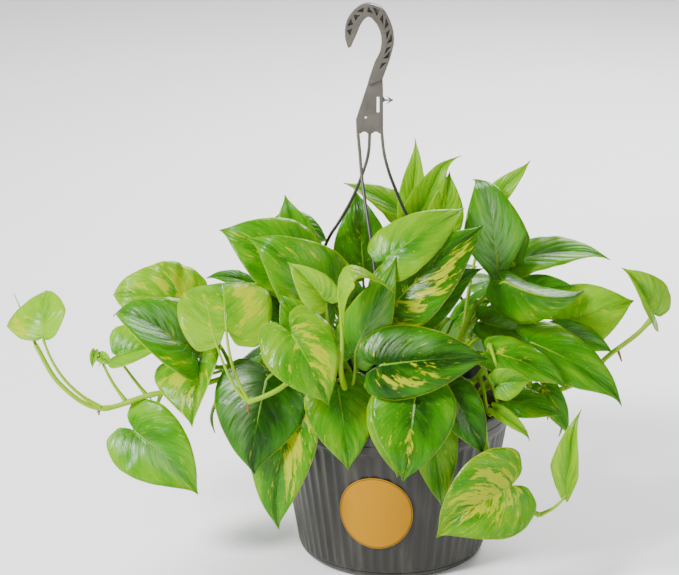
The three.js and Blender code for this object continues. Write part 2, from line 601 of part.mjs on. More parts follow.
// The vines that show. Their routes and their leaves' bases and tips are pixels with a distance in
// front of the axis.
const SHOWN_VINES = [
  {
    name: "vine_far_left",
    colour: LIME,
    root: [-72, 4],
    route: [
      [310, 393, -3], [280, 372, 16], [240, 374, 32], [205, 384, 36], [148, 396, 37], [96, 409, 40],
      [57, 384, 40], [33, 345, 34],
    ],
    leaves: [
      {
        from: [100, 409, 40], stalk: [[80, 397, 42], [62, 380, 43], [49, 360, 42]], base: [40, 337, 42],
        tip: [43, 289, 2], wide: 1.1, faces: [0, 0.1], fold: [-10, 36], roll: [-26, -12], arch: 0.12,
        lobes: 0.3,
      },
      {
        from: [146, 397, 35], stalk: [[130, 377, 32]], base: [115, 356, 30], tip: [168, 343, 22],
        wide: 1.1, faces: [-0.1, 0.2], fold: [2, 66], lobes: 0.5, ...FEW_FACES,
      },
      {
        from: [124, 402, 37], stalk: [[110, 382, 34]], base: [98, 357, 32], tip: [111, 366, 38],
        wide: 0.8, fold: [30, 30], ...FEW_FACES,
      },
      {
        from: [100, 361, 32], stalk: [[97, 353, 31]], base: [93, 352, 31], tip: [90, 368, 35], wide: 0.55,
        fold: [30, 30], ...FEW_FACES,
      },
      {
        from: [160, 394, 37], stalk: [[154, 408, 32], [143, 420, 35]], base: [132, 431, 44],
        tip: [199, 494, 66], wide: 0.86, faces: [0.1, 0.3], fold: [40, 0], lobes: 1.1, ...FEW_FACES,
      },
    ],
    spikes: [[[35, 349, 34], [22, 318, 16], [11, 293, 6]], [[97, 409, 40], [97, 416, 40]]],
  },
  {
    name: "vine_left",
    colour: GREEN,
    root: [-62, -16],
    route: [[285, 378, 36], [246, 371, 50], [206, 367, 50]],
    leaves: [
      { base: [191, 351, 52], tip: [106, 306, 40], wide: 0.92, fold: [48, -6], arch: 0.2, lobes: 0.4 },
      {
        base: [198, 362, 42], tip: [191, 427, 84], wide: 1.28, faces: [-0.1, 0.4], fold: [66, -6],
        roll: [-25, -8], arch: 0.12, lobes: 0.6,
      },
      {
        base: [188, 306, 14], tip: [104, 292, 10], wide: 0.96, faces: [0, 0.3], arch: 0.16, wave: 0.04,
        ...FEW_FACES,
      },
      { base: [199, 357, 36], tip: [209, 329, 32], wide: 0.9, ...FEW_FACES },
    ],
  },
  {
    name: "vine_arching",
    colour: LIME,
    root: [-50, -50],
    route: [
      [332, 392, 54], [322, 366, 74], [304, 370, 100], [280, 389, 116], [262, 398, 119], [247, 403, 119],
    ],
    leaves: [
      {
        from: [248, 403, 119], stalk: [[238, 384, 113], [229, 356, 100]], base: [225, 327, 90],
        tip: [224, 298, 16], wide: 1.1, arch: 0.34, fold: [-4, -4], roll: [-4, -4],
      },
    ],
    spikes: [
      [[247, 403, 119], [233, 386, 117], [214, 340, 112], [204, 295, 108]],
      [[247, 402, 119], [248, 415, 121]],
    ],
  },
  {
    name: "vine_front_left",
    colour: DARK,
    root: [-36, -36],
    route: [[350, 375, 40], [330, 345, 46]],
    leaves: [
      {
        stalk: [[330, 384, 43], [312, 394, 64]], base: [289, 405, 82], tip: [275, 533, 92], wide: 0.55,
        faces: [-0.2, 0.2], fold: [20, 12], ...FEW_FACES,
      },
      {
        stalk: [[320, 362, 60], [290, 364, 80]], base: [266, 379, 90], tip: [250, 476, 108], wide: 1.02,
        faces: [-0.15, 0.3], fold: [-16, 6], ...FEW_FACES,
      },
      { base: [291, 334, 102], tip: [330, 406, 122], wide: 0.94, fold: [10, 10], lobes: 1.8 },
      { base: [308, 338, 84], tip: [279, 294, 78], wide: 0.9, ...FEW_FACES },
      { base: [325, 300, 92], tip: [287, 262, 86], wide: 0.72, fold: [10, 45], ...FEW_FACES },
    ],
  },
  {
    name: "vine_upper_left",
    colour: GREEN,
    root: [-32, 0],
    route: [[352, 335, 2], [330, 290, 8]],
    leaves: [
      {
        base: [332, 303, 44], tip: [248, 231, 54], wide: 0.72, faces: [-0.1, 0.3], fold: [8, 8],
        arch: 0.14, ...FEW_FACES,
      },
      { base: [300, 268, 25], tip: [219, 228, 18], wide: 0.92, faces: [-0.2, 0.5], ...FEW_FACES },
      {
        base: [302, 262, -10], tip: [285, 194, -22], wide: 0.7, faces: [-0.2, 0.2], fold: [14, 14],
        ...FEW_FACES,
      },
      {
        base: [280, 233, -36], tip: [328, 240, -46], wide: 1.05, faces: [0.1, 0.7], arch: 0.2,
        ...FEW_FACES,
      },
      {
        stalk: [[300, 290, 4], [270, 285, 1]], base: [250, 284, 2], tip: [205, 276, 8], wide: 0.5,
        faces: [0, 0.8], ...FEW_FACES,
      },
      { base: [288, 318, 42], tip: [266, 284, 36], wide: 0.85, ...FEW_FACES },
    ],
  },
  {
    name: "vine_front",
    colour: LIME,
    root: [-18, -54],
    route: [[360, 404, 66], [346, 392, 82]],
    leaves: [
      {
        from: [346, 392, 82], stalk: [[341, 372, 98], [342, 342, 108]], base: [341, 318, 111],
        tip: [394, 291, 106], wide: 0.6, faces: [-0.6, 1.2, 0.4], fold: [-50, -40], roll: [-10, -10],
        arch: 0.6, lobes: 0.2, heel: 0.2,
      },
      {
        from: [350, 396, 78], stalk: [[355, 375, 88]], base: [355, 353, 91], tip: [399, 259, 84],
        wide: 0.49, fold: [14, 2], ...FEW_FACES,
      },
      {
        from: [348, 394, 80], stalk: [[340, 389, 84]], base: [338, 388, 84], tip: [350, 472, 108],
        wide: 0.86, faces: [0, 0.25], ...FEW_FACES,
      },
    ],
  },
  {
    name: "vine_front_right",
    colour: DARK,
    root: [16, -52],
    route: [[409, 404, 68], [402, 396, 84]],
    leaves: [
      {
        base: [379, 366, 116], tip: [490, 358, 106], wide: 0.68, faces: [0, 0.25], fold: [14, -8],
        roll: [-20, -30], arch: 0.08,
      },
      { base: [416, 393, 112], tip: [406, 484, 136], wide: 0.94, faces: [0, 0.2], fold: [10, 10] },
      { base: [398, 402, 111], tip: [401, 480, 120], wide: 0.78, faces: [-0.1, 0.2], ...FEW_FACES },
      { base: [430, 414, 105], tip: [442, 509, 112], wide: 0.5, faces: [0.1, 0.1], ...FEW_FACES },
    ],
  },
  {
    name: "vine_top",
    colour: GREEN,
    root: [8, 16],
    route: [[406, 335, -22], [402, 280, -34]],
    leaves: [
      { base: [364, 270, -32], tip: [359, 190, -50], wide: 0.74, faces: [-0.1, 0.1], ...FEW_FACES },
      { base: [414, 224, -78], tip: [345, 183, -64], wide: 0.5, faces: [0, 0.8], ...FEW_FACES },
      {
        base: [413, 222, -62], tip: [419, 138, -66], wide: 0.36, faces: [-0.2, 0], fold: [30, 20],
        ...FEW_FACES,
      },
      {
        base: [418, 220, -46], tip: [464, 158, -40], wide: 0.36, faces: [0, 0.2], fold: [30, 20],
        arch: 0.16, ...FEW_FACES,
      },
      { base: [444, 228, -30], tip: [450, 171, -36], wide: 0.66, faces: [0.1, 0.1], ...FEW_FACES },
    ],
  },
  {
    name: "vine_centre",
    colour: DARK,
    root: [10, -16],
    route: [[401, 350, 20], [397, 300, 24]],
    leaves: [
      {
        stalk: [[397, 305, 50], [391, 280, 66]], base: [385, 260, 76], tip: [468, 209, 46], wide: 0.6,
        faces: [0, 0.4], fold: [4, 12], lobes: 0.6,
      },
      {
        base: [392, 306, 85], tip: [487, 226, 58], wide: 0.6, lobes: 0.6, faces: [-0.1, 0.3],
        fold: [16, 8],
      },
      { base: [404, 324, 60], tip: [482, 264, 44], wide: 0.5, faces: [0, 0.2], ...FEW_FACES },
    ],
  },
  {
    name: "vine_upper_right",
    colour: GREEN,
    root: [48, -6],
    route: [[460, 340, 12], [480, 300, 20]],
    leaves: [
      {
        base: [499, 277, 38], tip: [482, 177, 2], wide: 0.66, faces: [0.1, 0.1], fold: [10, 10],
        roll: [-20, -20], arch: 0.2, heel: 0.2,
      },
      { base: [514, 270, 16], tip: [499, 186, -6], wide: 0.52, faces: [0.3, 0.1], heel: 0.4, ...FEW_FACES },
      {
        base: [487, 206, -12], tip: [533, 161, -14], wide: 0.38, faces: [0, 0.2], fold: [20, 20],
        ...FEW_FACES,
      },
      { base: [506, 264, 4], tip: [612, 255, 8], wide: 0.55, faces: [0, 1.1], fold: [10, 16], ...FEW_FACES },
      {
        stalk: [[488, 294, 40], [497, 286, 58]], base: [505, 281, 66], tip: [587, 293, 58], wide: 1.02,
        faces: [0, -0.7], fold: [-95, -2], roll: [-30, -12], arch: 0.2,
      },
      { base: [522, 298, 30], tip: [577, 286, 27], wide: 0.75, faces: [0, 0.4], ...FEW_FACES },
    ],
  },
  {
    name: "vine_right",
    colour: GREEN,
    root: [64, -18],
    route: [[505, 377, 28], [528, 360, 36]],
    leaves: [
      { base: [486, 323, 32], tip: [557, 332, 38], wide: 0.62, faces: [0, -0.6], ...FEW_FACES },
      {
        base: [530, 342, 58], tip: [628, 402, 70], wide: 0.56, faces: [0.2, 0.5], fold: [6, 14],
        ...FEW_FACES,
      },
      { base: [556, 334, 36], tip: [616, 352, 40], wide: 0.6, faces: [0, 0.6], ...FEW_FACES },
      { base: [566, 322, 18], tip: [637, 301, 12], wide: 0.92, faces: [0.1, 0.2], ...FEW_FACES },
    ],
  },
  {
    name: "vine_far_right",
    colour: LIME,
    root: [76, 6],
    route: [
      [512, 366, 4], [528, 380, 22], [541, 394, 28], [560, 391, 28], [585, 380, 28], [611, 356, 28],
      [640, 334, 27], [655, 318, 27],
    ],
    leaves: [
      {
        from: [653, 321, 27], base: [656, 314, 27], tip: [625, 267, 22], wide: 1, faces: [0.3, 0.2],
        fold: [62, 8], stalk: [[655, 318, 27]],
      },
    ],
    spikes: [[[620, 350, 26], [624, 362, 26]]],
  },
  {
    name: "vine_lower_right",
    colour: GREEN,
    root: [46, -44],
    route: [[470, 388, 58], [486, 368, 72], [491, 345, 82]],
    leaves: [
      {
        base: [451, 392, 104], tip: [486, 457, 117], wide: 0.62, faces: [0.1, 0.2], fold: [16, 10],
        ...FEW_FACES,
      },
      { base: [497, 411, 92], tip: [533, 440, 98], wide: 0.34, fold: [25, 25], ...FEW_FACES },
      { base: [508, 401, 72], tip: [564, 417, 80], wide: 0.62, faces: [0, 0.5], ...FEW_FACES },
      { base: [545, 388, 60], tip: [570, 436, 64], wide: 0.5, faces: [0.2, 0.2], ...FEW_FACES },
      { base: [495, 353, 86], tip: [571, 387, 92], wide: 0.52, faces: [0.1, 0.5], ...FEW_FACES },
      {
        from: [491, 345, 82], stalk: [[497, 364, 96]], base: [501, 385, 100], tip: [533, 381, 104],
        wide: 1.1, fold: [60, 0], lobes: 1.6, ...FEW_FACES,
      },
    ],
  },
  {
    name: "vine_trailing",
    colour: LIME,
    root: [62, -52],
    route: [
      [479, 400, 74], [484, 416, 90], [487, 445, 99], [496, 478, 105], [518, 505, 108], [541, 517, 109],
    ],
    leaves: [
      {
        from: [514, 502, 108], stalk: [[514, 492, 111]], base: [513, 487, 120], tip: [435, 536, 134],
        wide: 1.02, faces: [0, 0.3], fold: [-10, 44], lobes: 1.2,
      },
      {
        from: [541, 517, 109], stalk: [[556, 509, 107]], base: [568, 498, 105], tip: [579, 411, 100],
        wide: 0.44, faces: [-0.2, 0.1], fold: [10, 60], lobes: 0.2, heel: 0.35, ...FEW_FACES,
      },
    ],
  },
];

// The vines behind, which the view doesn't show: leaves in a low, a middle and a high ring, spread by
// seeded draws. Turns are degrees round the basket's axis, from +X.
const BACK_TURNS = [14, 54, 90, 126, 166];
const BACK_ROOT_RADIUS = 50;
const BACK_ROUTE = [[60, 165], [72, 192]];
const BACK_SPREAD = 8.5;
const BACK_STEP = 9;
const BACK_RINGS = [
  { base: [116, 172], tip: [154, 98], turn: -BACK_SPREAD, stand: 0 },
  { base: [116, 172], tip: [154, 98], turn: BACK_SPREAD, stand: BACK_STEP },
  { base: [105, 222], tip: [172, 198], turn: -BACK_SPREAD, stand: 0 },
  { base: [105, 222], tip: [172, 198], turn: BACK_SPREAD, stand: BACK_STEP },
  { base: [62, 214], tip: [116, 236], turn: 0, stand: 0 },
];
const BACK_WIDE = 0.72;
const BACK_ARCH = 0.12;
const BACK_VARIES = { turn: 1, tipTurn: 2, radius: 6, height: 3, wide: 0.06, arch: 0.03 };
const BACK_SEED = 20261127;

// A repeatable sequence of numbers from 0 to 1.
function seededDraws(seed) {
  let state = seed;
  return () => {
    state = (state + 0x6d2b79f5) | 0;
    let mixed = Math.imul(state ^ (state >>> 15), 1 | state);
    mixed = (mixed + Math.imul(mixed ^ (mixed >>> 7), 61 | mixed)) ^ mixed;
    return ((mixed ^ (mixed >>> 14)) >>> 0) / 4294967296;
  };
}

function aroundAxis(turn, radius, height) {
  const angle = THREE.MathUtils.degToRad(turn);
  return new THREE.Vector3(radius * Math.cos(angle), radius * Math.sin(angle), height);
}

function backVines() {
  const draw = seededDraws(BACK_SEED);
  const vary = (amount) => amount * (2 * draw() - 1);
  return BACK_TURNS.map((turn, i) => ({
    name: "vine_back_" + (i + 1),
    colour: i % 2 ? GREEN : DARK,
    root: aroundAxis(turn, BACK_ROOT_RADIUS, 0).toArray().slice(0, 2),
    route: BACK_ROUTE.map(([radius, height]) => aroundAxis(turn, radius, height)),
    leaves: BACK_RINGS.map((ring) => {
      const direction = turn + ring.turn + vary(BACK_VARIES.turn);
      const base = aroundAxis(direction, ...ring.base);
      const [radius, height] = ring.tip;
      const tipTurn = direction + vary(BACK_VARIES.tipTurn);
      const tip = aroundAxis(tipTurn, radius + vary(BACK_VARIES.radius), height + vary(BACK_VARIES.height));
      const across = aroundAxis(direction + 90, 1, 0);
      const normal = across.cross(tip.clone().sub(base)).negate().normalize();
      base.addScaledVector(normal, ring.stand);
      tip.addScaledVector(normal, ring.stand);
      const wide = BACK_WIDE + vary(BACK_VARIES.wide);
      const arch = BACK_ARCH + vary(BACK_VARIES.arch);
      return { base, tip, normal, wide, arch, ...FEWEST_FACES };
    }),
  }));
}

function shownVines() {
  return SHOWN_VINES.map((vine) => ({
    ...vine,
    route: vine.route.map(seen),
    leaves: vine.leaves.map((leaf) => ({
      ...leaf,
      base: seen(leaf.base),
      tip: seen(leaf.tip),
      from: leaf.from && seen(leaf.from),
    })),
  }));
}

// Object

const plain = (color, roughness) => new THREE.MeshStandardMaterial({ color, roughness, metalness: 0 });
const vines = [...shownVines(), ...backVines()];
const plant = new THREE.Group();
plant.add(makePot(plain("#5c5551", 0.45)));
const roots = vines.map((vine) => vine.root);
plant.add(makeSoil(plain("#2b1d14", 0.95), roots));
plant.add(makeLabel(plain("#f7b418", 0.5)));
plant.add(makeHanger(plain("#857c72", 0.5)));
for (const vine of vines) {
  plant.add(meshOf(vine.name, makeVine(vine), plain(vine.colour, 0.4)));
}

export default plant;
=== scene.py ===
# %% [markdown]
# # A golden pothos in a hanging basket
# A pothos is a climbing aroid. Each stem in the basket is a cutting: one grown body with a few
# heart-shaped leaves on long stalks. The leaves carry the picture, so most of this lesson goes to them:
# one flat leaf is modelled once, and its copies are bent into place.
# The frame is the plain CAD model of the same plant. It is loaded first, and each finer piece takes the
# place of one of its nodes.

import math
import random

import bpy
from mathutils import Matrix, Vector, noise


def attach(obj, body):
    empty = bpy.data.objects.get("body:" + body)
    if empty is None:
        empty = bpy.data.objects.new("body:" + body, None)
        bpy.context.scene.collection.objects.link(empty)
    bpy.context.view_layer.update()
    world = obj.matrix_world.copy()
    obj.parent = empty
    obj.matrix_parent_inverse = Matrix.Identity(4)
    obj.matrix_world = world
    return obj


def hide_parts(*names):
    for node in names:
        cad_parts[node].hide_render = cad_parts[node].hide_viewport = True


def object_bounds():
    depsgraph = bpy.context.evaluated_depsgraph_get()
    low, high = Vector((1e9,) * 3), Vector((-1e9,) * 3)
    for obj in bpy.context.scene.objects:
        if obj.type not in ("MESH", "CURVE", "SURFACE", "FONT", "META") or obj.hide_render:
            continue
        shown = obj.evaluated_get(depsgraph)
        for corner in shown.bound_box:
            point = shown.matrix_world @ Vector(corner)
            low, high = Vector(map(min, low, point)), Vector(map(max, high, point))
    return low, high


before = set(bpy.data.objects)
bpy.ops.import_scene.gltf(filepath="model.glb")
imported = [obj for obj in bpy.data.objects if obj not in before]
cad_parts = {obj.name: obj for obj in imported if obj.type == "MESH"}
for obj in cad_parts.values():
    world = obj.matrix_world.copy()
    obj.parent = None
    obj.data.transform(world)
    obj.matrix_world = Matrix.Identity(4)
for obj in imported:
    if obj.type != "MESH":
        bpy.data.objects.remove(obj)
start_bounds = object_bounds()
start_corners = [tuple(round(n, 3) for n in corner) for corner in start_bounds]
print("nodes:", len(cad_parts), "bounds:", start_corners)

# %% [markdown]
# Leaves and stems are placed in the reference picture: a pixel (u, v) and a distance in front of
# the basket's axis, in millimetres. One function turns them into metres. The camera at the end of the
# lesson uses the same numbers, so what is placed at a pixel shows close to that pixel.

# %% The view
PICTURE = (679, 575)
METRES_PER_PIXEL = 0.00088
VIEW_DISTANCE = 2.4
VIEW_ELEVATION = math.radians(19)
VIEW_AIM = Vector((-0.0475, 0, 0.246))
VIEW_RIGHT = Vector((1, 0, 0))
VIEW_UP = Vector((0, math.sin(VIEW_ELEVATION), math.cos(VIEW_ELEVATION)))
VIEW_TOWARDS = Vector((0, -math.cos(VIEW_ELEVATION), math.sin(VIEW_ELEVATION)))
MM = 0.001


def seen(place):
    """The point that shows at pixel u, v and lies some millimetres in front of the basket's axis."""
    u, v, front = place
    eye = VIEW_AIM + VIEW_TOWARDS * VIEW_DISTANCE
    right = (u - PICTURE[0] / 2) * METRES_PER_PIXEL / VIEW_DISTANCE
    up = (PICTURE[1] / 2 - v) * METRES_PER_PIXEL / VIEW_DISTANCE
    ray = -VIEW_TOWARDS + VIEW_RIGHT * right + VIEW_UP * up
    return eye + ray * ((-front * MM - eye.y) / ray.y)


print("the hook's top:", [round(n, 3) for n in seen((369, 1, 0))])

# %% [markdown]
# Three helpers for modelling by hand. `only` selects one object, because Blender's operators work on
# what is selected. `apply` adds a modifier and applies it at once. `joined` joins several objects.

# %% Helpers for objects


def only(*pieces):
    bpy.ops.object.select_all(action="DESELECT")
    for piece in pieces:
        piece.select_set(True)
    bpy.context.view_layer.objects.active = pieces[0]
    return pieces[0]


def apply(piece, kind, **settings):
    only(piece)
    modifier = piece.modifiers.new(kind.title(), kind)
    for key, value in settings.items():
        setattr(modifier, key, value)
    bpy.ops.object.modifier_apply(modifier=modifier.name)


def joined(pieces, name):
    only(*pieces)
    bpy.ops.object.join()
    piece = bpy.context.object
    piece.name = piece.data.name = name
    return piece


def made(name):
    piece = bpy.context.object
    piece.name = piece.data.name = name
    return piece


def smooth(piece, degrees=40):
    only(piece)
    bpy.ops.object.shade_smooth_by_angle(angle=math.radians(degrees))


def finished(piece, *nodes, slot):
    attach(piece, "root")
    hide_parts(*nodes)
    print(piece.name, len(piece.data.polygons), "faces")


# %% [markdown]
# Materials are node trees. `Paint` keeps them short: each method adds one node and gives back its result,
# so a material reads as a list of steps.

# %% A helper for materials
SUBSURFACE_DEPTH = 0.002


class Paint:
    """A material's node tree, built step by step."""

    def __init__(self, name):
        self.material = bpy.data.materials.new(name)
        self.material.use_nodes = True
        self.tree = self.material.node_tree
        self.tree.nodes.clear()

    def add(self, kind, inputs=(), **settings):
        """A node. Each input is (name or number, value or the result of another node)."""
        node = self.tree.nodes.new("ShaderNode" + kind)
        for key, value in settings.items():
            setattr(node, key, value)
        for key, value in inputs:
            if isinstance(value, bpy.types.NodeSocket):
                self.tree.links.new(value, node.inputs[key])
            else:
                node.inputs[key].default_value = value
        return node

    def math(self, operation, a, b=0.0, c=0.0, clamp=False):
        return self.add("Math", [(0, a), (1, b), (2, c)], operation=operation, use_clamp=clamp).outputs[0]

    def scaled(self, value, factor, plus=0.0, clamp=False):
        return self.math("MULTIPLY_ADD", value, factor, plus, clamp)

    def step(self, value, low, high):
        """0 below low, 1 above high, and a soft step between."""
        inputs = [("Value", value), ("From Min", low), ("From Max", high)]
        return self.add("MapRange", inputs, interpolation_type="SMOOTHSTEP").outputs["Result"]

    def blend(self, share, a, b):
        """From colour a to colour b by a share."""
        return self.add("Mix", [("Factor", share), (6, a), (7, b)], data_type="RGBA").outputs[2]

    def noise(self, vector, scale=1.0, detail=3.0, roughness=0.55):
        inputs = [("Vector", vector), ("Scale", scale), ("Detail", detail), ("Roughness", roughness)]
        return self.add("TexNoise", inputs).outputs["Fac"]

    def place(self):
        return self.add("TexCoord").outputs["Object"]

    def stretched(self, scale):
        return self.add("Mapping", [("Vector", self.place()), ("Scale", scale)]).outputs["Vector"]

    def uv(self, layer="UVMap"):
        return self.add("SeparateXYZ", [("Vector", self.add("UVMap", uv_map=layer).outputs["UV"])]).outputs

    def channels(self, layer):
        """The three values of a colour attribute."""
        colour = self.add("VertexColor", layer_name=layer).outputs["Color"]
        return self.add("SeparateColor", [("Color", colour)]).outputs

    def vector(self, x, y, z=0.0):
        return self.add("CombineXYZ", [("X", x), ("Y", y), ("Z", z)]).outputs["Vector"]

    def ramp(self, value, *colours):
        """A smooth run through evenly spaced colours."""
        node = self.add("ValToRGB", [("Fac", value)])
        stops = node.color_ramp.elements
        while len(stops) < len(colours):
            stops.new(0.5)
        for i, colour in enumerate(colours):
            stops[i].position = i / (len(colours) - 1)
            stops[i].color = colour
        return node.outputs["Color"]

    def bump(self, height, strength, distance):
        inputs = [("Height", height), ("Strength", strength), ("Distance", distance)]
        return self.add("Bump", inputs).outputs["Normal"]

    def shader(self, colour, roughness, normal, specular=0.5, subsurface=0.0):
        inputs = [("Base Color", colour), ("Roughness", roughness), ("Normal", normal)]
        inputs += [("Specular IOR Level", specular)]
        inputs += [("Subsurface Weight", subsurface), ("Subsurface Scale", SUBSURFACE_DEPTH)]
        return self.add("BsdfPrincipled", inputs).outputs["BSDF"]

    def finish(self, shader):
        self.add("OutputMaterial", [("Surface", shader)])
        return self.material


def linear(red, green, blue):
    """A colour in 0-255 as a picture program shows it, as light values."""
    def light(value):
        share = value / 255
        return share / 12.92 if share <= 0.04045 else ((share + 0.055) / 1.055) ** 2.4
    return (light(red), light(green), light(blue), 1)


# %% [markdown]
# The basket is one injection-moulded cup. Sixty shallow flutes stiffen its wall, the foot is rounded, and
# a smooth band with a fine line forms the rim. By hand it is a circle, extruded and scaled ring by ring
# along the profile; the flutes are then pressed in by moving the wall's vertices by their angle.

# %% Basket: the turned cup
FLUTES = 60
FLUTE_DEPTH = 1.6
WALL_LOW, WALL_HIGH = (84.5, 7.0), (104.5, 126.0)
FLUTE_START, FLUTE_END = 8.0, 126.0
FLUTE_FADE = 3.0


def wall_radius(height):
    share = (height - WALL_LOW[1]) / (WALL_HIGH[1] - WALL_LOW[1])
    return WALL_LOW[0] + (WALL_HIGH[0] - WALL_LOW[0]) * share


WALL_HEIGHTS = (8, 9, 10, 12, 20, 35, 50, 65, 80, 95, 110, 121, 123, 124.5, 125.5)
FOOT = [(66, 0.0), (77.5, 0.0), (79.6, 0.5), (81.6, 1.8), (83.0, 3.6), (83.9, 5.6), (83.9, 6.3)]
FOOT += [(83.3, 6.7), (84.3, 7.2)]
RIM = [(104.4, 126.6), (105.4, 127.6), (106.1, 128.8), (106.3, 130.5), (106.5, 135.4), (106.0, 135.8)]
RIM += [(106.0, 136.3), (106.6, 136.7), (107.0, 144.2), (106.8, 145.3), (106.2, 146.0), (105.2, 146.0)]
RIM += [(104.6, 145.4), (103.9, 130)]
INSIDE = [(100.6, 126), (82.0, 6.0), (79.0, 3.0), (66, 3.0)]
PROFILE = FOOT + [(wall_radius(z), z) for z in WALL_HEIGHTS] + RIM + INSIDE

bpy.ops.mesh.primitive_circle_add(vertices=8 * FLUTES, radius=PROFILE[0][0] * MM, location=(0, 0, 0))
pot = made("basket")
bpy.ops.object.mode_set(mode="EDIT")
bpy.ops.mesh.select_all(action="SELECT")
for (before, low), (after, high) in zip(PROFILE, PROFILE[1:]):
    bpy.ops.mesh.extrude_region_move(TRANSFORM_OT_translate={"value": (0, 0, (high - low) * MM)})
    bpy.ops.transform.resize(value=(after / before, after / before, 1), center_override=(0, 0, high * MM))
bpy.ops.mesh.edge_face_add()
bpy.ops.mesh.select_all(action="DESELECT")
bpy.ops.object.mode_set(mode="OBJECT")
for vertex in pot.data.vertices:
    vertex.select = math.hypot(vertex.co.x, vertex.co.y) < 66.5 * MM and vertex.co.z < MM
bpy.ops.object.mode_set(mode="EDIT")
bpy.ops.mesh.select_mode(type="VERT")
bpy.ops.mesh.edge_face_add()
bpy.ops.mesh.select_all(action="SELECT")
bpy.ops.mesh.normals_make_consistent(inside=False)
bpy.ops.object.mode_set(mode="OBJECT")
bpy.ops.object.transform_apply(location=True, rotation=True, scale=True)
print("turned cup:", len(pot.data.vertices), "vertices")

# %% Basket: flutes and drain holes


def flute(angle, height):
    """How far the wall is pressed in: broad hollows between soft ridges, which fade out at both ends."""
    fade = min(1, (height - FLUTE_START) / FLUTE_FADE, (FLUTE_END - height) / FLUTE_FADE)
    if fade <= 0:
        return 0
    hollow = math.sqrt(math.sin(FLUTES / 2 * angle) ** 2 + 0.03) - math.sqrt(0.03)
    return FLUTE_DEPTH * hollow * fade ** 0.5


for vertex in pot.data.vertices:
    x, y, z = (n / MM for n in vertex.co)
    radius = math.hypot(x, y)
    if abs(radius - wall_radius(z)) < 0.2 and FLUTE_START < z < FLUTE_END:
        share = (radius - flute(math.atan2(y, x), z)) / radius
        vertex.co.x *= share
        vertex.co.y *= share

DRAIN_HOLES, DRAIN_CIRCLE, DRAIN_RADIUS = 6, 56, 4
drills = []
for i in range(DRAIN_HOLES):
    turn = 2 * math.pi * i / DRAIN_HOLES
    place = (DRAIN_CIRCLE * MM * math.cos(turn), DRAIN_CIRCLE * MM * math.sin(turn), 0)
    bpy.ops.mesh.primitive_cylinder_add(vertices=32, radius=DRAIN_RADIUS * MM, depth=0.02, location=place)
    drills.append(made("drill"))
drill = joined(drills, "drills")
apply(pot, "BOOLEAN", object=drill, operation="DIFFERENCE", solver="EXACT")
bpy.data.objects.remove(drill)
smooth(pot, 50)
print("basket:", len(pot.data.polygons), "faces")

# %% [markdown]
# The label is a piece of film stuck on the flutes' crests. It is modelled as a flat round, with rings inset
# from its rim so that it can bend, then wrapped round the wall and given a thickness. The wall leans away
# from the camera, so the round is stretched upwards to look round from there.

# %% Label: a wrapped disc
LABEL_RADIUS, LABEL_HEIGHT, LABEL_TURN = 33, 69, math.radians(-9.7)
LABEL_STRETCH = 1.09
LABEL_RINGS = 12

bpy.ops.mesh.primitive_circle_add(vertices=96, radius=LABEL_RADIUS * MM, fill_type="NOTHING")
label = made("round_label")
bpy.ops.object.mode_set(mode="EDIT")
bpy.ops.mesh.select_all(action="SELECT")
for ring in range(LABEL_RINGS - 1, 0, -1):
    bpy.ops.mesh.extrude_region_move()
    share = ring / (ring + 1)
    bpy.ops.transform.resize(value=(share, share, 1), center_override=(0, 0, 0))
bpy.ops.mesh.edge_face_add()
bpy.ops.mesh.select_all(action="SELECT")
bpy.ops.mesh.normals_make_consistent(inside=False)
bpy.ops.object.mode_set(mode="OBJECT")
flat = [vertex.co.copy() for vertex in label.data.vertices]
uv = label.data.uv_layers.new(name="disc")
for loop in label.data.loops:
    place = flat[loop.vertex_index] / (2 * LABEL_RADIUS * MM)
    uv.data[loop.index].uv = (0.5 + place.x, 0.5 + place.y)
for vertex in label.data.vertices:
    height = LABEL_HEIGHT + LABEL_STRETCH * vertex.co.y / MM
    radius = wall_radius(height) + 0.35
    angle = LABEL_TURN + vertex.co.x / MM / radius
    vertex.co = Vector((radius * math.sin(angle), -radius * math.cos(angle), height)) * MM
apply(label, "SOLIDIFY", thickness=0.45 * MM, offset=1 if label.data.polygons[0].normal.y < 0 else -1)
apply(label, "BEVEL", width=0.12 * MM, segments=2, limit_method="ANGLE")
smooth(label, 40)
print("label:", len(label.data.polygons), "faces")

# %% [markdown]
# Potting mix fills the cup to a finger's breadth under the rim: dark peat with lumps, bark chips and white
# perlite. The body is turned like the cup and its top is raised by noise. One crumb is modelled, and its
# copies are spread and stretched by seeded draws.

# %% Potting mix
SOIL_PROFILE = [(80, 3.4), (81, 5.5), (99.8, 125.5), (98, 127.5), (93, 128.2)]
SOIL_PROFILE += [(radius, 130) for radius in range(88, 2, -4)]
SOIL_LUMPS = 2.2

mix_radius, mix_floor = SOIL_PROFILE[0]
bpy.ops.mesh.primitive_circle_add(vertices=160, radius=mix_radius * MM, fill_type="NGON",
                                  location=(0, 0, mix_floor * MM))
soil = made("potting_mix")
bpy.ops.object.mode_set(mode="EDIT")
bpy.ops.mesh.select_all(action="SELECT")
for (before, low), (after, high) in zip(SOIL_PROFILE, SOIL_PROFILE[1:]):
    bpy.ops.mesh.extrude_region_move(TRANSFORM_OT_translate={"value": (0, 0, (high - low) * MM)})
    bpy.ops.transform.resize(value=(after / before, after / before, 1), center_override=(0, 0, high * MM))
bpy.ops.mesh.select_all(action="SELECT")
bpy.ops.mesh.normals_make_consistent(inside=False)
bpy.ops.object.mode_set(mode="OBJECT")
bpy.ops.object.transform_apply(location=True, rotation=True, scale=True)
for vertex in soil.data.vertices:
    if vertex.co.z > 127 * MM:
        lumps = noise.noise(vertex.co * 110) + 0.6 * noise.noise(vertex.co * 260)
        vertex.co.z += SOIL_LUMPS * MM * lumps
smooth(soil, 60)

